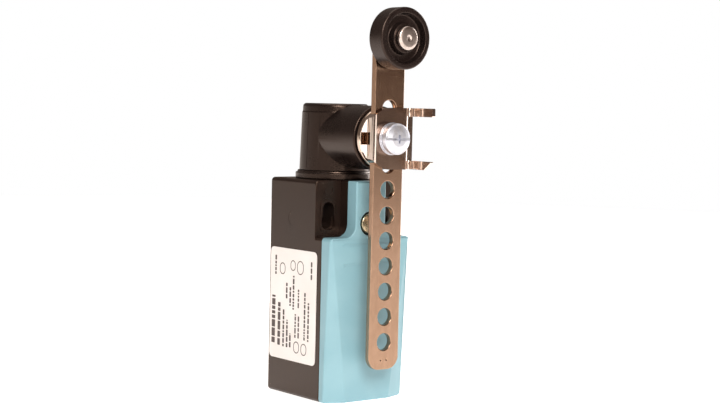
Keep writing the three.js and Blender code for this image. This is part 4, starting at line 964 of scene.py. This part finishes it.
def make_clamp():
    bend = 1.7
    channel = BAR_HALF + 0.15
    notch_half = 1.9
    prong_height = 2.6
    edge = HUB_RADIUS - prong_height
    # The sheet's own section across the switch: flats, and a channel raised over the bar.
    inner_bend, outer_bend = 0.3, 1.5
    coined = 0.6  # how far the left flats slope back to the rim
    section = [
        (-HUB_RADIUS - 2, CLAMP_BACK),
        (-channel, CLAMP_BACK, 0.25),
        (-channel, CHANNEL_FRONT - SHEET, inner_bend),
        (channel, CHANNEL_FRONT - SHEET, inner_bend),
        (channel, CLAMP_BACK, 0.25),
        (CLAMP_RIGHT + 2, CLAMP_BACK),
        (CLAMP_RIGHT + 2, CLAMP_BACK + SHEET),
        (channel + SHEET, CLAMP_BACK + SHEET, 0.5),
        (channel + SHEET, CHANNEL_FRONT, outer_bend),
        (-channel - SHEET, CHANNEL_FRONT, outer_bend),
        (-channel - SHEET, CLAMP_BACK + SHEET, 0.5),
        (-HUB_RADIUS, CLAMP_BACK + SHEET - coined),
        (-HUB_RADIUS - 2, CLAMP_BACK + SHEET - coined),
    ]
    piece = prism("pressed_clamp", section, "top", SHAFT_Z - 12, SHAFT_Z + 12, 0, 5)
    # Its outline: a disc on the left, straight on the right, cut back where the prongs turn out.
    steps = 40
    angles = [math.pi * (0.5 + i / steps) for i in range(steps + 1)]
    disc = [(HUB_RADIUS * math.cos(angle), SHAFT_Z + HUB_RADIUS * math.sin(angle)) for angle in angles]
    relief = CLAMP_RIGHT - bend
    outline = disc + [
        (relief, SHAFT_Z - HUB_RADIUS),
        (relief, SHAFT_Z - edge),
        (CLAMP_RIGHT, SHAFT_Z - edge, 0.3),
        (CLAMP_RIGHT, SHAFT_Z + edge, 0.3),
        (relief, SHAFT_Z + edge),
        (relief, SHAFT_Z + HUB_RADIUS),
    ]
    combine(piece, prism("clamp_outline", outline, "front", CLAMP_BACK - 1, CHANNEL_FRONT + 1), "INTERSECT")
    notch = rectangle((-HUB_RADIUS - 3, -channel + 0.2), (SHAFT_Z - notch_half, SHAFT_Z + notch_half), 0.1)
    combine(piece, prism("notch", notch, "front", CLAMP_BACK - 1, CHANNEL_FRONT - 1.5))
    # Prongs: the sheet turned out through a right angle.
    strip = [
        (relief - 0.9, CLAMP_BACK),
        (CLAMP_RIGHT, CLAMP_BACK, bend),
        (CLAMP_RIGHT, PRONG_OUT + 1),
        (CLAMP_RIGHT - SHEET, PRONG_OUT + 1),
        (CLAMP_RIGHT - SHEET, CLAMP_BACK + SHEET, bend - SHEET),
        (relief - 0.9, CLAMP_BACK + SHEET),
    ]
    lap = 0.05  # the prongs reach into the sheet by this, so that they join it
    for side in (1, -1):
        low, high = sorted((SHAFT_Z + side * (edge - lap), SHAFT_Z + side * HUB_RADIUS))
        prong = prism("prong", strip, "top", low - 1, high + 1, 0, 8)
        if side > 0:
            tip = rectangle((PRONG_OUT - 14, PRONG_OUT), (low, high), 0.35)
        else:
            # The lower prong's tip slants back.
            tip = [
                (PRONG_OUT - 14, high),
                (PRONG_OUT - 14, low),
                (PRONG_OUT - 3.6, low, 0.35),
                (PRONG_OUT, high, 0.25),
            ]
        combine(prong, prism("tip", tip, "side", CLAMP_RIGHT - 6, CLAMP_RIGHT + 3), "INTERSECT")
        combine(piece, prong, "UNION")
    hole_radius, hole_back, hole_front = 2.8, CLAMP_BACK - 2, CHANNEL_FRONT + 2
    hole = [(0, hole_back), (hole_radius, hole_back), (hole_radius, hole_front), (0, hole_front)]
    combine(piece, turned("screw_hole", hole, "out", (0, 0, SHAFT_Z), 48))
    # The stamping's edges are rolled over slightly.
    only(piece)
    bevel = piece.modifiers.new("edges", "BEVEL")
    bevel.width = 0.34 * MM
    bevel.segments = 3
    bevel.limit_method = "ANGLE"
    bevel.angle_limit = math.radians(50)
    bpy.ops.object.modifier_apply(modifier=bevel.name)
    return finished(piece, "lever", nickel_pressing, ["clamp_bracket"])


make_clamp()


def make_washers():
    """A plain washer and a split spring washer, pressed flat on each other."""
    back, front = sorted(-v for v in span("spring_washer", 1))
    seam = (back + front) / 2
    bore, plain, spring = 2.56, 5.0, 4.85
    profile = [
        (bore, back),
        (plain, back, 0.15),
        (plain, seam - 0.02, 0.12),
        (4.75, seam, 0.02),
        (spring, seam + 0.03, 0.1),
        (spring, front, 0.15),
        (bore, front),
    ]
    piece = turned("washer_stack", profile, "out", (0, 0, SHAFT_Z))
    split = block("split", (-0.35, 0.35), (seam, front + 1), (SHAFT_Z - 6, SHAFT_Z))
    combine(piece, split)
    return finished(piece, "lever", zinc_plate, ["spring_washer"])


make_washers()


def make_clamp_screw():
    back, front = sorted(-v for v in span("clamp_screw", 1))
    seat = front - 2.9
    head, shank = 4.8, 2.5
    # A fine groove rings the face just inside its rim.
    profile = [
        (0, back),
        (shank - 0.4, back),
        (shank, back + 0.6),
        (shank, seat),
        (head - 0.2, seat, 0.1),
        (head, seat + 0.25, 0.15),
        (head, front - 0.95, 0.25),
        (head - 0.3, front - 0.68, 0.1),
        (head - 0.42, front - 0.8, 0.04),
        (head - 0.54, front - 0.62, 0.05),
        (2.6, front - 0.1, 2.5),
        (0, front),
    ]
    piece = turned("zinc_clamp_screw", profile, "out", (0, 0, SHAFT_Z), 112, 8)
    slot_half = 0.42
    slot = rectangle((-head - 1, head + 1), (SHAFT_Z - slot_half, SHAFT_Z + slot_half), 0.1)
    combine(piece, prism("slot", slot, "front", front - 0.9, front + 1))
    cross_cut(piece, 0, SHAFT_Z, 1.6, slot_half, front - 1.7, front)
    return finished(piece, "lever", zinc_plate, ["clamp_screw"])


make_clamp_screw()

# ---------------------------------------------------------------- roller


def make_roller():
    back, front = sorted(-v for v in span("roller", 1))
    radius, rim, dish, hub = 9.5, 1.8, 2.5, 4.5
    bore, hub_step = 2.56, 0.3
    # One face, as radius and depth behind the rim; the back is its mirror.
    face = [
        (bore, hub_step),
        (hub, hub_step, 0.3),
        (hub + 0.35, dish, 0.4),
        (radius - rim - 0.35, dish, 0.5),
        (radius - rim, 0, 0.25),
        (radius, 0, 0.55),
    ]
    profile = [(c[0], back + c[1], *c[2:]) for c in face]
    profile += [(c[0], front - c[1], *c[2:]) for c in reversed(face)]
    piece = turned("grooved_roller", profile, "out", (0, 0, ROLLER_Z), 144, 6)
    return finished(piece, "roller", roller_acetal, ["roller"])


make_roller()


def make_pin():
    back, front = sorted(-v for v in span("roller_pin", 1))
    seat = -span("roller", 1)[0] + 0.1
    head, shank = 3.65, 2.5
    profile = [
        (0, back),
        (3.1, back, 0.4),
        (3.35, BAR_BACK - 0.05, 0.1),
        (shank, BAR_BACK - 0.05),
        (shank, seat),
        (head, seat, 0.15),
        (head, front - 0.3, 0.5),
        (2.7, front - 0.05, 1.5),
        (1.0, front, 0.4),
        (0.5, front - 0.22, 0.2),
        (0, front - 0.26),
    ]
    piece = turned("faced_roller_pin", profile, "out", (0, 0, ROLLER_Z))
    return finished(piece, "lever", pin_steel, ["roller_pin"])


make_pin()

# ---------------------------------------------------------------- finishes of the frame's own nodes

FINISHES = {
    "cover_gasket": nitrile,
    "rating_label": white_film,
    "flange_o_ring": nitrile,
    "shaft_seal": nitrile,
    "shaft_bush": brass,
    "return_spring": spring_wire,
    "contact_spring": spring_wire,
    "contact_block": grey_thermoset,
    "earth_clamp": brass,
    "earth_screw": zinc_plate,
    "plunger": red_polyamide,
    "contact_carrier": red_polyamide,
    "contact_bridge": contact_silver,
    "actuator_shaft": shaft_steel,
    "shaft_circlip": spring_wire,
    "roller_spacer": pin_steel,
}
for side in ("left", "right"):
    for level in ("nc", "no"):
        FINISHES["fixed_contact_" + level + "_" + side] = contact_silver
        FINISHES["terminal_screw_" + level + "_" + side] = zinc_plate
for name, material in FINISHES.items():
    cad_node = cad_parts[name]
    for index in range(len(cad_node.material_slots)):
        cad_node.material_slots[index].material = material

# ---------------------------------------------------------------- stage and light

# Opal acrylic light table, lit from below: a pale matt floor that fades into the background, and is
# dimmer in front of the switch, so that it throws little light up at it.
table_top = plain_finish("opal_acrylic_table", "#f4f2f0", "#efedeb", (0.85, 0.95), (1.5, 0.02), blotch=60)
table_tree = table_top.node_tree
glow = table_tree.nodes["Principled BSDF"]
TO_DIM_SPOT = (-0.02, 0.3, 0.0)  # moves the dim spot's middle to the origin
from_dim_spot = node(
    table_tree, "Mapping", None,
    {"Vector": node(table_tree, "TexCoord").outputs["Object"], "Location": TO_DIM_SPOT},
).outputs[0]
distance = node(table_tree, "VectorMath", {"operation": "LENGTH"}, {0: from_dim_spot}).outputs["Value"]
brightness = node(
    table_tree, "MapRange", None,
    {"Value": distance, "From Min": 0.1, "From Max": 0.27, "To Min": 0.25, "To Max": 0.8},
).outputs[0]
table_tree.links.new(brightness, glow.inputs["Emission Strength"])
glow.inputs["Emission Color"].default_value = colour("#fffcfa")
TABLE_RADIUS, TABLE_DROP = 1.0, 0.02
bpy.ops.object.select_all(action="DESELECT")
bpy.ops.mesh.primitive_circle_add(
    vertices=96, radius=TABLE_RADIUS, fill_type="NGON", location=(0, 0, (BOTTOM - TABLE_DROP) * MM)
)
floor = bpy.context.object
floor.name = floor.data.name = "floor"
floor.data.materials.append(table_top)


LIGHT_DISTANCE = 0.9


def soft_light(name, direction, size, power, tint):
    """A rectangular softbox that looks at the origin from a direction."""
    data = bpy.data.lights.new(name, "AREA")
    data.shape = "RECTANGLE"
    data.size, data.size_y = size
    data.energy = power
    data.color = colour(tint)[:3]
    lamp = bpy.data.objects.new(name, data)
    bpy.context.scene.collection.objects.link(lamp)
    lamp.location = Vector(direction).normalized() * LIGHT_DISTANCE
    lamp.rotation_euler = (-Vector(direction)).to_track_quat("-Z", "Y").to_euler()
    lamp.visible_camera = False


soft_light("key_softbox", (-0.46, -1, 0.68), (0.42, 0.42), 7.2, "#fff8f1")
soft_light("front_card", (0.0, -1, 0.08), (0.42, 0.3), 0.8, "#fff8f1")
soft_light("top_softbox", (0.1, 0.1, 1), (0.8, 0.8), 3.6, "#fff8f2")
soft_light("right_strip", (1, 0.12, 0.2), (0.5, 0.7), 7.5, "#fffaf6")

world = bpy.data.worlds.new("studio")
bpy.context.scene.world = world
world.use_nodes = True
tree = world.node_tree
tree.nodes.clear()
# The room is pale low down at the back left, and dark brown elsewhere.
direction = node(tree, "TexCoord").outputs["Generated"]
height = node(tree, "SeparateXYZ", None, {"Vector": direction}).outputs["Z"]
front_right = node(
    tree, "VectorMath", {"operation": "DOT_PRODUCT"}, {0: direction, 1: Vector((0.61, -0.79, 0.0))}
).outputs["Value"]
left_wall = node(
    tree, "MapRange", None,
    {"Value": front_right, "From Min": -0.35, "From Max": 0.25, "To Min": 1, "To Max": 0},
).outputs[0]
low_wall = node(
    tree, "MapRange", None,
    {"Value": height, "From Min": -0.09, "From Max": 0.13, "To Min": 1.1, "To Max": 0.12},
).outputs[0]
pale = node(tree, "Math", {"operation": "MULTIPLY"}, {0: left_wall, 1: low_wall}).outputs[0]
room_light = node(
    tree, "Mix", {"data_type": "RGBA"}, {"Factor": pale, 6: colour("#4d3d34"), 7: colour("#fff3e8")}
).outputs[2]
room = node(tree, "Background", None, {"Color": room_light, "Strength": 1.0})
seen = node(tree, "Background", None, {"Color": (1, 1, 1, 1), "Strength": 1.0})
camera_ray = node(tree, "LightPath").outputs["Is Camera Ray"]
mixed = node(tree, "MixShader", None, {"Fac": camera_ray, 1: room.outputs[0], 2: seen.outputs[0]})
node(tree, "OutputWorld", None, {"Surface": mixed.outputs[0]})

bpy.context.scene.view_settings.view_transform = "Standard"
bpy.context.scene.view_settings.look = "None"
